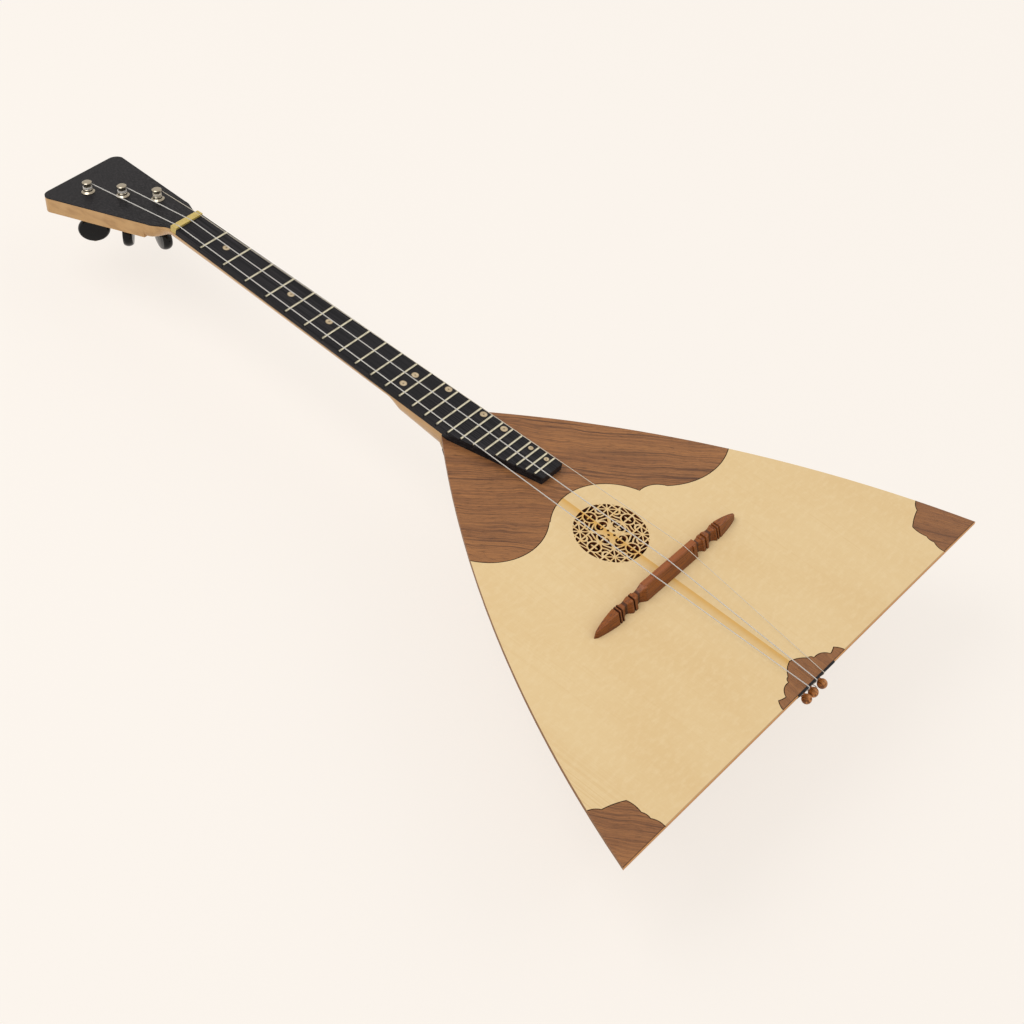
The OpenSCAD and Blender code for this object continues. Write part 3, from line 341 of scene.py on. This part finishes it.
def maple_finish(colors, name, degrees=90.0):
    """Maple with long growth lines, small flecks and a faint flame across them."""
    shader = Shader(name)
    x, y, z = shader.place()
    along, across = turned(shader, x, y, degrees)
    grain = shader.vector(along * 0.005, across * 0.28, z * 0.22)
    lines = shader.noise(grain, detail=4, roughness=0.65)
    flecks = shader.noise(shader.vector(along * 0.12, across * 2.4, z * 2.0), detail=2)
    flame = shader.noise(shader.vector(along * 0.08, across * 0.012, z * 0.012), detail=2)
    tone = shader.mix(lines.step(0.42, 0.64) * 0.6, colors.maple, colors.maple_line)
    tone = shader.mix(flame.step(0.42, 0.66) * 0.32, tone, colors.maple_pale)
    tone = shader.mix(flecks.step(0.6, 0.8) * 0.14, tone, colors.maple_line)
    shader.bump(flecks, 0.00004, 0.4)
    rough = lines * 0.12 + 0.32
    return shader.finish(Base_Color=tone, Roughness=rough, Coat_Weight=0.2, Coat_Roughness=0.2)


def ebony_finish(colors):
    shader = Shader("ebony")
    x, y, z = shader.place()
    streaks = shader.noise(shader.vector(x * 1.7, y * 0.006, z * 1.7), detail=4, roughness=0.75)
    pores = shader.noise(shader.vector(x * 4.5, y * 0.16, z * 4), detail=2)
    tone = shader.mix(streaks.step(0.46, 0.62), colors.ebony, colors.ebony_streak)
    pore_mask = pores.step(0.6, 0.78)
    tone = shader.mix(pore_mask * 0.5, tone, colors.ebony_pore)
    shader.bump(1 - pore_mask, 0.00006, 0.5)
    return shader.finish(Base_Color=tone, Roughness=streaks * 0.18 + 0.4, Specular_IOR_Level=0.12)


# Where the grooves of the bridge's arms lie from its middle, and how wide they are, in
# millimetres; shade is painted into these grooves
BRIDGE_GROOVES = ((39.2, 1.2), (52.0, 1.1), (54.6, 1.1), (32.5, 2.0), (46.2, 2.4))


def bridge_finish(colors):
    """Reddish-brown hardwood with dark rings and long pores, with painted shade in its carved
    grooves and near its foot, and painted light on its top.
    """
    shader = Shader("rosewood")
    x, y, z = shader.place()
    sway = shader.noise(shader.vector(x * 0.03, y * 0.1, z * 0.1), detail=2)
    grain = shader.vector(x * 0.014, y * 0.9 + sway * 2, z * 1.2)
    rings = shader.noise(grain, detail=4, roughness=0.7)
    pores = shader.noise(shader.vector(x * 0.22, y * 4.5, z * 4.5), detail=2, roughness=0.7)
    tone = shader.mix(rings.step(0.46, 0.6) * 0.85, colors.rosewood, colors.rosewood_rings_and_foot_shade)
    tone = shader.mix(pores.step(0.55, 0.7) * 0.6, tone, colors.rosewood_pore_and_groove_shade)
    # Painted light: the top of the bridge, above about 8.5 mm, is made lighter as if lit from
    # above.
    tone = shader.mix(z.step(8.5, 10.0) * 0.4, tone, colors.rosewood_painted_top_light)
    # Painted shade: the bridge darkens towards its foot, as if in its own shadow.
    tone = shader.mix((1 - z.step(0.4, 3.5)) * 0.5, tone, colors.rosewood_rings_and_foot_shade)
    low, high = (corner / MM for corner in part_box("bridge"))
    off = (x - (low.x + high.x) / 2).math("ABSOLUTE")
    # Painted shade: the grooves of the arms are darkened as if in shadow.
    painted_groove_shade = 0
    for place, width in BRIDGE_GROOVES:
        painted_groove_shade = off.band(place - width / 2, place + width / 2, 0.35) + painted_groove_shade
    tone = shader.mix(painted_groove_shade.math("MINIMUM", 1) * 0.85, tone, colors.rosewood_pore_and_groove_shade)
    shader.bump(1 - pores.step(0.55, 0.7), 0.00008, 0.5)
    rough = rings * 0.15 + 0.36
    polish = {"Specular_IOR_Level": 0.25, "Coat_Weight": 0.12, "Coat_Roughness": 0.18}
    return shader.finish(Base_Color=tone, Roughness=rough, **polish)


def pear_finish(colors):
    """Turned fruitwood with bold rings that run along each pin."""
    shader = Shader("pear")
    x, y, z = shader.place()
    sway = shader.noise(shader.vector(x * 0.2, y * 0.1, z * 0.2), detail=2)
    grain = shader.vector(x * 1.5 + sway * 2, y * 0.1, z * 0.5)
    rings = shader.noise(grain, detail=3, roughness=0.6)
    tone = shader.mix(rings.step(0.44, 0.54) * 0.9, colors.pear, colors.pear_dark)
    pores = shader.noise(shader.vector(x * 5.0, y * 0.6, z * 5.0), detail=2)
    tone = shader.mix(pores.step(0.58, 0.72) * 0.4, tone, colors.pear_dark)
    rough = rings * 0.15 + 0.36
    polish = {"Specular_IOR_Level": 0.3, "Coat_Weight": 0.06, "Coat_Roughness": 0.25}
    return shader.finish(Base_Color=tone, Roughness=rough, **polish)


def bone_finish(colors):
    shader = Shader("bone")
    x, y, z = shader.place()
    streaks = shader.noise(shader.vector(x * 0.35, y * 1.6, z * 1.1), detail=3)
    tone = shader.mix(streaks.step(0.3, 0.75) * 0.7, colors.bone, colors.bone_dark)
    return shader.finish(Base_Color=tone, Roughness=streaks * 0.1 + 0.28)


def separate_solids(name):
    """The middle and half width, in millimetres, of each separate solid of a CAD node."""
    mesh = merged_copy(name)
    left, found = set(mesh.verts), []
    while left:
        reached, edge = set(), [left.pop()]
        while edge:
            vert = edge.pop()
            reached.add(vert)
            near = {e.other_vert(vert) for e in vert.link_edges} & left
            left -= near
            edge.extend(near)
        xs, ys = [v.co.x for v in reached], [v.co.y for v in reached]
        middle = Vector(((min(xs) + max(xs)) / 2, (min(ys) + max(ys)) / 2)) - ORIGIN.to_2d()
        found.append((middle / MM, (max(xs) - min(xs)) / 2 / MM))
    mesh.free()
    return sorted(found, key=lambda solid: tuple(solid[0]))


def pearl_finish(colors):
    """Position dots with clouds, a small dark centre and a dark seam of glue at the rim."""
    shader = Shader("pearl")
    x, y, z = shader.place()
    cloud = shader.noise(shader.vector(x * 0.45, y * 0.45, z * 0.45), detail=3, distortion=1.2)
    tone = shader.mix(cloud.step(0.35, 0.7), colors.pearl, colors.pearl_warm)
    # The way to the nearest dot's middle, as a share of that dot's radius
    share = 9.0
    for middle, radius in separate_solids("position_dots"):
        off = ((x - middle.x) ** 2 + (y - middle.y) ** 2) ** 0.5 / radius
        share = off.math("MINIMUM", share)
    tone = shader.mix((1 - share.step(0.12, 0.3)) * 0.75, tone, colors.pearl_centre)
    tone = shader.mix(share.step(0.84, 0.96) * 0.7, tone, colors.pearl_centre)
    return shader.finish(Base_Color=tone, Roughness=cloud * 0.12 + 0.2)


def metal_finish(name, color, rough, grain):
    shader = Shader(name)
    x, y, z = shader.place()
    wear = shader.noise(shader.vector(x * grain, y * grain, z * grain), detail=3)
    tone = shader.mix(wear.step(0.4, 0.8) * 0.3, color, [c * 0.72 for c in color])
    return shader.finish(Base_Color=tone, Metallic=1.0, Roughness=wear * 0.12 + rough)


def button_finish(colors):
    shader = Shader("button_black")
    x, y, z = shader.place()
    haze = shader.noise(shader.vector(x * 0.3, y * 0.3, z * 0.3), detail=3)
    tone = shader.mix(haze.step(0.4, 0.8) * 0.5, colors.button, [c * 1.8 for c in colors.button])
    return shader.finish(Base_Color=tone, Roughness=haze * 0.1 + 0.1, Specular_IOR_Level=0.22)


def nylon_finish(colors):
    shader = Shader("nylon")
    x, y, z = shader.place()
    cloud = shader.noise(shader.vector(x * 0.5, y * 0.05, z * 0.5), detail=1)
    tone = shader.mix(cloud * 0.4, colors.nylon, [c * 0.9 for c in colors.nylon])
    rough = cloud * 0.06 + 0.26
    return shader.finish(Base_Color=tone, Roughness=rough, Coat_Weight=0.2, Alpha=0.74)


# --- Settings -----------------------------------------------------------------


def color(name, description, *rgb):
    limits = {"subtype": "COLOR", "size": 3, "min": 0, "max": 1}
    return FloatVectorProperty(name=name, description=description, default=srgb(*rgb), **limits)


def length(name, description, mm):
    limits = {"min": 0, "unit": "LENGTH", "precision": 5}
    return FloatProperty(name=name, description=description, default=mm * MM, **limits)


class BALALAIKA_PG_colors(bpy.types.PropertyGroup):
    """Colours of the woods, metals and plastics."""

    spruce: color("Spruce", "Ground colour of the soundboard", 225, 196, 146)
    spruce_ring: color("Spruce ring", "Late wood of the spruce", 204, 164, 106)
    spruce_warm: color("Spruce warm", "Warmer patches of the spruce", 219, 186, 133)
    spruce_pale: color("Spruce silk", "Pale silk across the spruce", 231, 205, 159)
    honey: color("Honey strip", "The dark joint strip under the strings", 207, 156, 66)
    honey_edge: color("Tail strip", "Strip along the tail edge", 196, 134, 68)
    rim: color("Soundboard rim", "Side of the soundboard", 132, 92, 54)
    seam: color("Seam veneer", "Black veneers between the staves", 30, 24, 20)
    line: color("Glue line", "Dark line round the inlays", 46, 27, 14)
    # A painted shade: the dark that the wood inside the body is given in place of its shadow.
    scorch: color("Burnt edge", "Burnt walls of the fretwork", 126, 66, 36)
    inside: color("Inside", "Wood inside the body", 60, 38, 24)
    walnut: color("Walnut", "Ground colour of the inlays", 137, 90, 54)
    walnut_pale: color("Walnut pale", "Paler bands of the walnut", 156, 105, 62)
    walnut_dark: color("Walnut dark", "Dark bands of the walnut", 86, 54, 35)
    walnut_glow: color("Walnut glow", "Warm streaks of the walnut", 178, 119, 68)
    walnut_pore: color("Walnut pore", "Pores of the walnut", 54, 34, 24)
    maple: color("Maple", "Ground colour of the back and neck", 187, 145, 91)
    maple_line: color("Maple line", "Growth lines of the maple", 156, 114, 66)
    maple_pale: color("Maple flame", "Pale flame of the maple", 202, 162, 108)
    ebony: color("Ebony", "Black of the fingerboard and head", 21, 21, 24)
    ebony_streak: color("Ebony streak", "Paler streaks in the black wood", 50, 48, 50)
    ebony_pore: color("Ebony pore", "Pores in the black wood", 10, 10, 11)
    rosewood: color("Bridge wood", "Ground colour of the bridge", 140, 76, 24)
    # Used both for the dark rings and for the painted shade near the bridge's foot.
    rosewood_rings_and_foot_shade: color("Bridge wood dark", "Dark rings of the bridge", 98, 50, 20)
    # The bridge's lighter top is painted light, where the lamps fall on it.
    rosewood_painted_top_light: color("Bridge wood light", "Rubbed crown of the bridge", 164, 94, 54)
    # Used both for the pores and for the painted shade in the arms' grooves.
    rosewood_pore_and_groove_shade: color("Bridge wood pore", "Pores of the bridge", 58, 28, 12)
    pear: color("Pin wood", "Ground colour of the tail pins", 206, 136, 74)
    pear_dark: color("Pin wood dark", "Dark rings of the tail pins", 112, 62, 26)
    bone: color("Bone", "Ground colour of the nut", 200, 176, 98)
    bone_dark: color("Bone dark", "Streaks of the nut", 170, 144, 72)
    pearl: color("Dots", "Colour of the position dots", 200, 180, 146)
    pearl_warm: color("Dots warm", "Clouds in the position dots", 172, 150, 116)
    pearl_centre: color("Dot centres", "Middle and seam of the dots", 88, 66, 44)
    nickel: color("Nickel", "Plating of the tuners", 166, 158, 142)
    fret_wire: color("Fret wire", "Metal of the frets", 192, 187, 166)
    steel: color("Steel", "Metal of the thin string", 204, 198, 186)
    button: color("Buttons", "Plastic of the tuner buttons", 8, 8, 10)
    nylon: color("Nylon", "The two thick strings", 216, 212, 205)


class BALALAIKA_PG_sizes(bpy.types.PropertyGroup):
    """Sizes of the pieces that are shaped here."""

    line_width: length("Inlay line", "Thickness of the dark line round the inlays", 0.6)
    seam_width: length("Seam veneer", "Thickness of the veneers between the staves", 0.8)
    nylon_width: length("Nylon string", "Thickness of the nylon strings", 0.75)
    pin_reach: length("Pin reach", "From the end panel to the middle of a pin's head", 4.6)
    pin_neck: length("Pin neck", "Thickness of a pin's neck", 3.6)
    curl_radius: length("Curl", "Radius of the curl of the snipped string end", 2.4)
    curl_reach: length("Curl reach", "How far the snipped end runs on past its curl", 1.5)


class BALALAIKA_PG_stage(bpy.types.PropertyGroup):
    """Floor, lights and camera."""

    floor: color("Floor", "Colour of the floor", 251, 244, 236)
    sky_strength: FloatProperty(
        name="Sky", description="Strength of the even light",
        default=0.6, min=0,
    )
    key_power: FloatProperty(
        name="Key", description="Power of the main light",
        default=24.0, min=0, unit="POWER",
    )
    fill_power: FloatProperty(
        name="Fill", description="Power of the second light",
        default=7.0, min=0, unit="POWER",
    )
    even_floor: FloatProperty(
        name="Even floor", description="Share of the floor that shows no shade",
        default=0.8, min=0, max=1,
    )
    lens: FloatProperty(
        name="Lens", description="Focal length on a 36 mm wide sensor",
        default=77.34, min=1, unit="CAMERA",
    )


# --- Modelling helpers ----------------------------------------------------------


def clear_selection():
    if bpy.context.object and bpy.context.object.mode != "OBJECT":
        bpy.ops.object.mode_set(mode="OBJECT")
    bpy.ops.object.select_all(action="DESELECT")


def make_active(piece):
    clear_selection()
    piece.select_set(True)
    bpy.context.view_layer.objects.active = piece


def settle(piece, name, material, body):
    """Names a finished piece, applies its place to its mesh, and hangs it on its body."""
    make_active(piece)
    bpy.ops.object.transform_apply(location=True, rotation=True, scale=True)
    piece.name = name
    piece.data.name = name
    piece.data.materials.clear()
    piece.data.materials.append(material)
    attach(piece, body)


def merged_copy(name):
    """A CAD node's mesh with its loose triangles joined, to read edges from."""
    mesh = bmesh.new()
    mesh.from_mesh(NODES[name].data)
    bmesh.ops.remove_doubles(mesh, verts=mesh.verts, dist=MERGE)
    mesh.normal_update()
    return mesh


def bead_along(name, edges, width):
    """A thin round bead that follows a chain of edges, each given by its two ends."""
    line = bmesh.new()
    points = {}
    for ends in edges:
        keys = [tuple(round(c, 6) for c in end) for end in ends]
        for key, end in zip(keys, ends):
            if key not in points:
                points[key] = line.verts.new(end)
        line.edges.new([points[key] for key in keys])
    mesh = bpy.data.meshes.new(name)
    line.to_mesh(mesh)
    line.free()
    piece = bpy.data.objects.new(name, mesh)
    bpy.context.scene.collection.objects.link(piece)
    make_active(piece)
    bpy.ops.object.convert(target="CURVE")
    piece.data.bevel_depth = width / 2
    piece.data.bevel_resolution = 1
    bpy.ops.object.convert(target="MESH")
    return bpy.context.object


# --- Operators ------------------------------------------------------------------


class BALALAIKA_OT_soundboard(bpy.types.Operator):
    """Spruce for the soundboard and what is glued under it"""

    bl_idname = "balalaika.soundboard"
    bl_label = "Soundboard"

    def execute(self, context):
        colors = context.scene.balalaika_colors
        spruce = spruce_finish(colors)
        dress(spruce, "soundboard", "lining_bass", "lining_treble", "rosette_ring")
        dress(spruce, "brace_upper", "brace_middle", "brace_lower")
        return {"FINISHED"}


class BALALAIKA_OT_inlays(bpy.types.Operator):
    """Walnut for the inlaid plates"""

    bl_idname = "balalaika.inlays"
    bl_label = "Inlays"

    def execute(self, context):
        colors = context.scene.balalaika_colors
        dress(walnut_finish(colors, "walnut_upper", -48.0), "upper_inlay")
        corner = walnut_finish(colors, "walnut_corner", -57.0, 1.2, 0.8, strip=True)
        dress(corner, "corner_inlay_bass", "corner_inlay_treble")
        dress(walnut_finish(colors, "walnut_tail", 84.0, 2.4, 0.5, strip=True), "tail_inlay")
        return {"FINISHED"}


class BALALAIKA_OT_inlay_lines(bpy.types.Operator):
    """The thin dark line where each inlay meets the spruce"""

    bl_idname = "balalaika.inlay_lines"
    bl_label = "Inlay lines"

    def execute(self, context):
        width = context.scene.balalaika_sizes.line_width
        shader = Shader("glue_line")
        x, y, z = shader.place()
        grime = shader.noise(shader.vector(x * 0.6, y * 0.6, 0.0))
        line = context.scene.balalaika_colors.line
        tone = shader.mix(grime, line, [c * 0.6 for c in line])
        material = shader.finish(Base_Color=tone, Roughness=0.8, Specular_IOR_Level=0.1)
        for name in ("upper_inlay", "corner_inlay_bass", "corner_inlay_treble", "tail_inlay"):
            self.trace(name, width, material)
        return {"FINISHED"}

    def trace(self, name, width, material):
        """A fine bead along the part of a plate's rim that lies inside the soundboard."""
        plate = merged_copy(name)
        rim = []
        for edge in plate.edges:
            ends = [Vector((v.co.x, v.co.y, ORIGIN.z)) for v in edge.verts]
            flat = [abs(f.normal.z) > 0.9 for f in edge.link_faces]
            on_top = min(v.co.z for v in edge.verts) > ORIGIN.z - 0.1 * MM
            if on_top and sorted(flat) == [False, True] and self.inside((ends[0] + ends[1]) / 2):
                rim.append(ends)
        plate.free()
        piece = bead_along(name + "_line", rim, width)
        for vert in piece.data.vertices:
            vert.co.z = ORIGIN.z + (vert.co.z - ORIGIN.z) * LINE_FLATNESS
        settle(piece, name + "_line", material, "instrument")

    def inside(self, p):
        """True away from the soundboard's own outline."""
        y = (p.y - ORIGIN.y) / MM
        half = half_width(max(y, 0)) * MM
        return y > RIM_MARGIN / MM and abs(p.x) < half - RIM_MARGIN


def half_width(y):
    """Half the soundboard's width in millimetres, y millimetres from the tail edge."""
    wide = BOARD_HIGH.x / MM
    long = (BOARD_HIGH.y - BOARD_LOW.y) / MM
    chord = math.hypot(wide - NECK_END_HALF, long)
    radius = (chord * chord / 4 + SIDE_BOW * SIDE_BOW) / (2 * SIDE_BOW)
    out = SIDE_BOW - radius
    cx = (wide + NECK_END_HALF) / 2 + long / chord * out
    cy = long / 2 + (wide - NECK_END_HALF) / chord * out
    return cx + math.sqrt(radius * radius - (y - cy) ** 2)


class BALALAIKA_OT_back(bpy.types.Operator):
    """Maple for the staves, the end panel and the blocks"""

    bl_idname = "balalaika.back"
    bl_label = "Back"

    def execute(self, context):
        colors = context.scene.balalaika_colors
        middle = (len(STAVES) - 1) / 2
        for place, name in enumerate(STAVES):
            # The staves fan out, and the grain turns with them
            material = maple_finish(colors, "maple_stave", 90 + (place - middle) * 4.5)
            dress(material, name)
        dress(maple_finish(colors, "maple_panel", 0.0), "end_panel", "tail_block", "neck_block")
        return {"FINISHED"}


class BALALAIKA_OT_seams(bpy.types.Operator):
    """Thin black veneers between the staves of the back"""

    bl_idname = "balalaika.seams"
    bl_label = "Stave seams"

    def execute(self, context):
        width = context.scene.balalaika_sizes.seam_width
        shader = Shader("seam_veneer")
        x, y, z = shader.place()
        grain = shader.noise(shader.vector(x * 0.6, y * 0.05, z * 0.6), detail=2)
        colors = context.scene.balalaika_colors
        tone = shader.mix(grain.step(0.4, 0.7), colors.seam, [c * 0.6 for c in colors.seam])
        material = shader.finish(Base_Color=tone, Roughness=0.45, Specular_IOR_Level=0.3)
        for first, second in zip(STAVES, STAVES[1:]):
            piece = bead_along("seam_" + first[-1], self.joint(first, second), width)
            for vert in piece.data.vertices:
                vert.co.z = max(vert.co.z, CAD_BOX[0].z)
            settle(piece, "seam_" + first[-1], material, "instrument")
        return {"FINISHED"}

    def joint(self, first, second):
        """The outer edges that two neighbouring staves share."""
        mine, other = merged_copy(first), merged_copy(second)
        tree = KDTree(len(other.verts))
        for index, vert in enumerate(other.verts):
            tree.insert(vert.co, index)
        tree.balance()
        shared = {v for v in mine.verts if tree.find(v.co)[2] < 0.3 * MM}
        edges = []
        for edge in mine.edges:
            if not shared.issuperset(edge.verts) or len(edge.link_faces) != 2:
                continue
            if edge.calc_face_angle() < LEAST_EDGE_ANGLE:
                continue
            middle = (edge.verts[0].co + edge.verts[1].co) / 2
            outward = Vector((middle.x, 0, middle.z - ORIGIN.z)).normalized()
            if max(f.normal.dot(outward) for f in edge.link_faces) > 0.5:
                edges.append([v.co.copy() for v in edge.verts])
        mine.free()
        other.free()
        return edges


class BALALAIKA_OT_neck(bpy.types.Operator):
    """Maple neck and head, with the black wood on top"""

    bl_idname = "balalaika.neck"
    bl_label = "Neck and head"

    def execute(self, context):
        colors = context.scene.balalaika_colors
        dress(maple_finish(colors, "maple_neck"), "neck", "headstock")
        dress(ebony_finish(colors), "fingerboard", "head_veneer", "tail_saddle")
        dress(metal_finish("fret_wire", colors.fret_wire, 0.28, 0.4), "frets")
        dress(pearl_finish(colors), "position_dots")
        dress(bone_finish(colors), "nut")
        return {"FINISHED"}


class BALALAIKA_OT_bridge(bpy.types.Operator):
    """The loose bridge"""

    bl_idname = "balalaika.bridge"
    bl_label = "Bridge"

    def execute(self, context):
        dress(bridge_finish(context.scene.balalaika_colors), "bridge")
        return {"FINISHED"}


class BALALAIKA_OT_strings(bpy.types.Operator):
    """Strings, the snipped end of the middle one, and the wooden pins"""

    bl_idname = "balalaika.strings"
    bl_label = "Strings and pins"

    def execute(self, context):
        colors = context.scene.balalaika_colors
        nylon = nylon_finish(colors)
        steel = metal_finish("steel_string", colors.steel, 0.45, 0.6)
        for n in STRINGS:
            dress(steel if n == 3 else nylon, f"string_{n}", f"string_winding_{n}")
        dress(pear_finish(colors), "tail_pin_1", "tail_pin_2", "tail_pin_3")
        self.snipped_end(nylon, context.scene.balalaika_sizes)
        return {"FINISHED"}

    def snipped_end(self, material, sizes):
        """The middle string's short end, which curls out between two of the pins."""
        low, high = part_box("tail_pin_2")
        ball = (high.x - low.x) / 2
        out = Vector((0, -math.cos(PANEL_LEAN), -math.sin(PANEL_LEAN)))
        aside = Vector((1, 0, 0))
        panel = low + Vector((ball, ball, ball)) - out * sizes.pin_reach
        start = panel + out * (HITCH_OFF_PANEL + sizes.nylon_width / 2)
        start += aside * (HITCH_OFF_PIN + (sizes.pin_neck + sizes.nylon_width) / 2)
        clear_selection()
        bpy.ops.mesh.primitive_circle_add(
            vertices=12, radius=sizes.nylon_width / 2, fill_type="NGON",
            location=start, rotation=(0, math.pi / 2, 0),
        )
        piece = bpy.context.object
        make_active(piece)
        bpy.ops.object.transform_apply(location=True, rotation=True, scale=True)
        bpy.ops.object.mode_set(mode="EDIT")
        bpy.ops.mesh.select_all(action="SELECT")
        bpy.ops.mesh.spin(
            steps=8, angle=math.pi / 2,
            center=start + out * sizes.curl_radius, axis=out.cross(aside),
        )
        bpy.ops.mesh.extrude_region_move(TRANSFORM_OT_translate={"value": out * sizes.curl_reach})
        bpy.ops.mesh.select_all(action="SELECT")
        bpy.ops.mesh.normals_make_consistent(inside=False)
        bpy.ops.object.mode_set(mode="OBJECT")
        bpy.ops.object.shade_smooth_by_angle(angle=math.radians(40))
        settle(piece, "string_end_2", material, "instrument")


class BALALAIKA_OT_tuners(bpy.types.Operator):
    """Nickel tuners and their black buttons"""

    bl_idname = "balalaika.tuners"
    bl_label = "Tuners"

    def execute(self, context):
        colors = context.scene.balalaika_colors
        nickel = metal_finish("nickel", colors.nickel, 0.16, 0.5)
        black = button_finish(colors)
        for n in STRINGS:
            dress(nickel, f"tuner_bushing_{n}", f"tuner_cup_{n}")
            dress(nickel, f"tuner_post_{n}", f"tuner_screw_{n}")
            dress(black, f"tuner_button_{n}")
        return {"FINISHED"}


class BALALAIKA_OT_stage(bpy.types.Operator):
    """Pale floor, soft light and the camera"""

    bl_idname = "balalaika.stage"
    bl_label = "Stage"

    def execute(self, context):
        stage = context.scene.balalaika_stage
        self.floor(stage)
        self.sky(context, stage)
        self.lamp("key_light", KEY_PLACE, stage.key_power)
        self.lamp("fill_light", FILL_PLACE, stage.fill_power)
        self.camera(context, stage)
        return {"FINISHED"}

    def floor(self, stage):
        clear_selection()
        bpy.ops.mesh.primitive_plane_add(size=FLOOR_WIDTH, location=(0, 0, -FLOOR_DROP))
        plane = bpy.context.object
        plane.name = "floor"
        shader = Shader("floor")
        x, y, z = shader.place()
        speckle = shader.noise(shader.vector(x * 0.02, y * 0.02, 0.0), detail=1)
        tone = shader.mix(speckle * 0.1, tuple(stage.floor), [c * 0.98 for c in stage.floor])
        material = shader.finish(Base_Color=tone, Roughness=0.9, Specular_IOR_Level=0.0)
        tree = material.node_tree
        own_light = {"Color": tuple(stage.floor), "Strength": 1.0}
        glow = shader.node("ShaderNodeEmission", None, own_light)
        plain = Wire(shader, shader.surface.outputs["BSDF"])
        far = (x ** 2 + (y - SHADE_MIDDLE_Y) ** 2) ** 0.5
        share = far.step(*SHADE_FADES) * (1 - stage.even_floor) + stage.even_floor
        seen = self.seen_directly(shader) * share
        blend = shader.node("ShaderNodeMixShader", None, {0: seen, 1: plain, 2: glow})
        tree.links.new(blend.socket, tree.nodes["Material Output"].inputs["Surface"])
        plane.data.materials.append(material)

    def seen_directly(self, shader):
        """1 for what the eye, a mirror or a clear piece sees, 0 for the light on the object."""
        path = shader.node("ShaderNodeLightPath").socket.node.outputs
        rays = ("Is Camera Ray", "Is Glossy Ray", "Is Transmission Ray")
        camera, glossy, clear = (Wire(shader, path[ray]) for ray in rays)
        return camera.math("MAXIMUM", glossy).math("MAXIMUM", clear)

    def sky(self, context, stage):
        world = bpy.data.worlds.new("studio")
        context.scene.world = world
        world.use_nodes = True
        shader = Shader.of_tree(world.node_tree, "Background")
        seen = self.seen_directly(shader)
        color = shader.mix(seen, (1, 1, 1), tuple(stage.floor))
        strength = seen * (1 - stage.sky_strength) + stage.sky_strength
        shader.feed(shader.surface.inputs["Color"], color)
        shader.feed(shader.surface.inputs["Strength"], strength)
        context.scene.view_settings.view_transform = "Standard"

    def lamp(self, name, place, power):
        data = bpy.data.lights.new(name, "AREA")
        data.shape = "DISK"
        data.size = LAMP_WIDTH
        data.energy = power
        lamp = bpy.data.objects.new(name, data)
        lamp.location = place
        lamp.rotation_euler = (-Vector(place)).to_track_quat("-Z", "Y").to_euler()
        bpy.context.scene.collection.objects.link(lamp)

    def camera(self, context, stage):
        """Looks down on the soundboard from the tail's left, slightly rolled."""
        level = math.cos(CAMERA_PITCH)
        ahead = Vector((
            math.sin(CAMERA_YAW) * level, math.cos(CAMERA_YAW) * level, -math.sin(CAMERA_PITCH),
        ))
        side = Vector((math.cos(CAMERA_YAW), -math.sin(CAMERA_YAW), 0))
        up = side.cross(ahead)
        right = math.cos(CAMERA_ROLL) * side + math.sin(CAMERA_ROLL) * up
        top = math.cos(CAMERA_ROLL) * up - math.sin(CAMERA_ROLL) * side
        data = bpy.data.cameras.new("camera")
        data.sensor_width = SENSOR_WIDTH
        data.lens = stage.lens
        camera = bpy.data.objects.new("camera", data)
        matrix = Matrix((right, top, -ahead)).transposed().to_4x4()
        matrix.translation = ORIGIN + Vector(CAMERA_PLACE)
        camera.matrix_world = matrix
        context.scene.collection.objects.link(camera)
        context.scene.camera = camera


OPERATORS = (
    BALALAIKA_OT_soundboard,
    BALALAIKA_OT_inlays,
    BALALAIKA_OT_inlay_lines,
    BALALAIKA_OT_back,
    BALALAIKA_OT_seams,
    BALALAIKA_OT_neck,
    BALALAIKA_OT_bridge,
    BALALAIKA_OT_strings,
    BALALAIKA_OT_tuners,
    BALALAIKA_OT_stage,
)
SETTINGS = {
    "balalaika_colors": BALALAIKA_PG_colors,
    "balalaika_sizes": BALALAIKA_PG_sizes,
    "balalaika_stage": BALALAIKA_PG_stage,
}


class BALALAIKA_PT_panel(bpy.types.Panel):
    """Lists the pieces of the balalaika"""

    bl_label = "Balalaika"
    bl_idname = "BALALAIKA_PT_panel"
    bl_space_type = "VIEW_3D"
    bl_region_type = "UI"
    bl_category = "Balalaika"

    def draw(self, context):
        layout = self.layout
        for operator in OPERATORS:
            layout.operator(operator.bl_idname)
        for name in SETTINGS:
            box = layout.box()
            settings = getattr(context.scene, name)
            for key in settings.__annotations__:
                box.prop(settings, key)


CLASSES = tuple(SETTINGS.values()) + OPERATORS + (BALALAIKA_PT_panel,)


def register():
    for cls in CLASSES:
        bpy.utils.register_class(cls)
    for name, group in SETTINGS.items():
        setattr(bpy.types.Scene, name, PointerProperty(type=group))


def unregister():
    for name in SETTINGS:
        delattr(bpy.types.Scene, name)
    for cls in reversed(CLASSES):
        bpy.utils.unregister_class(cls)


def main():
    register()
    for operator in OPERATORS:
        group, name = operator.bl_idname.split(".")
        getattr(getattr(bpy.ops, group), name)()


if __name__ == "__main__":
    main()
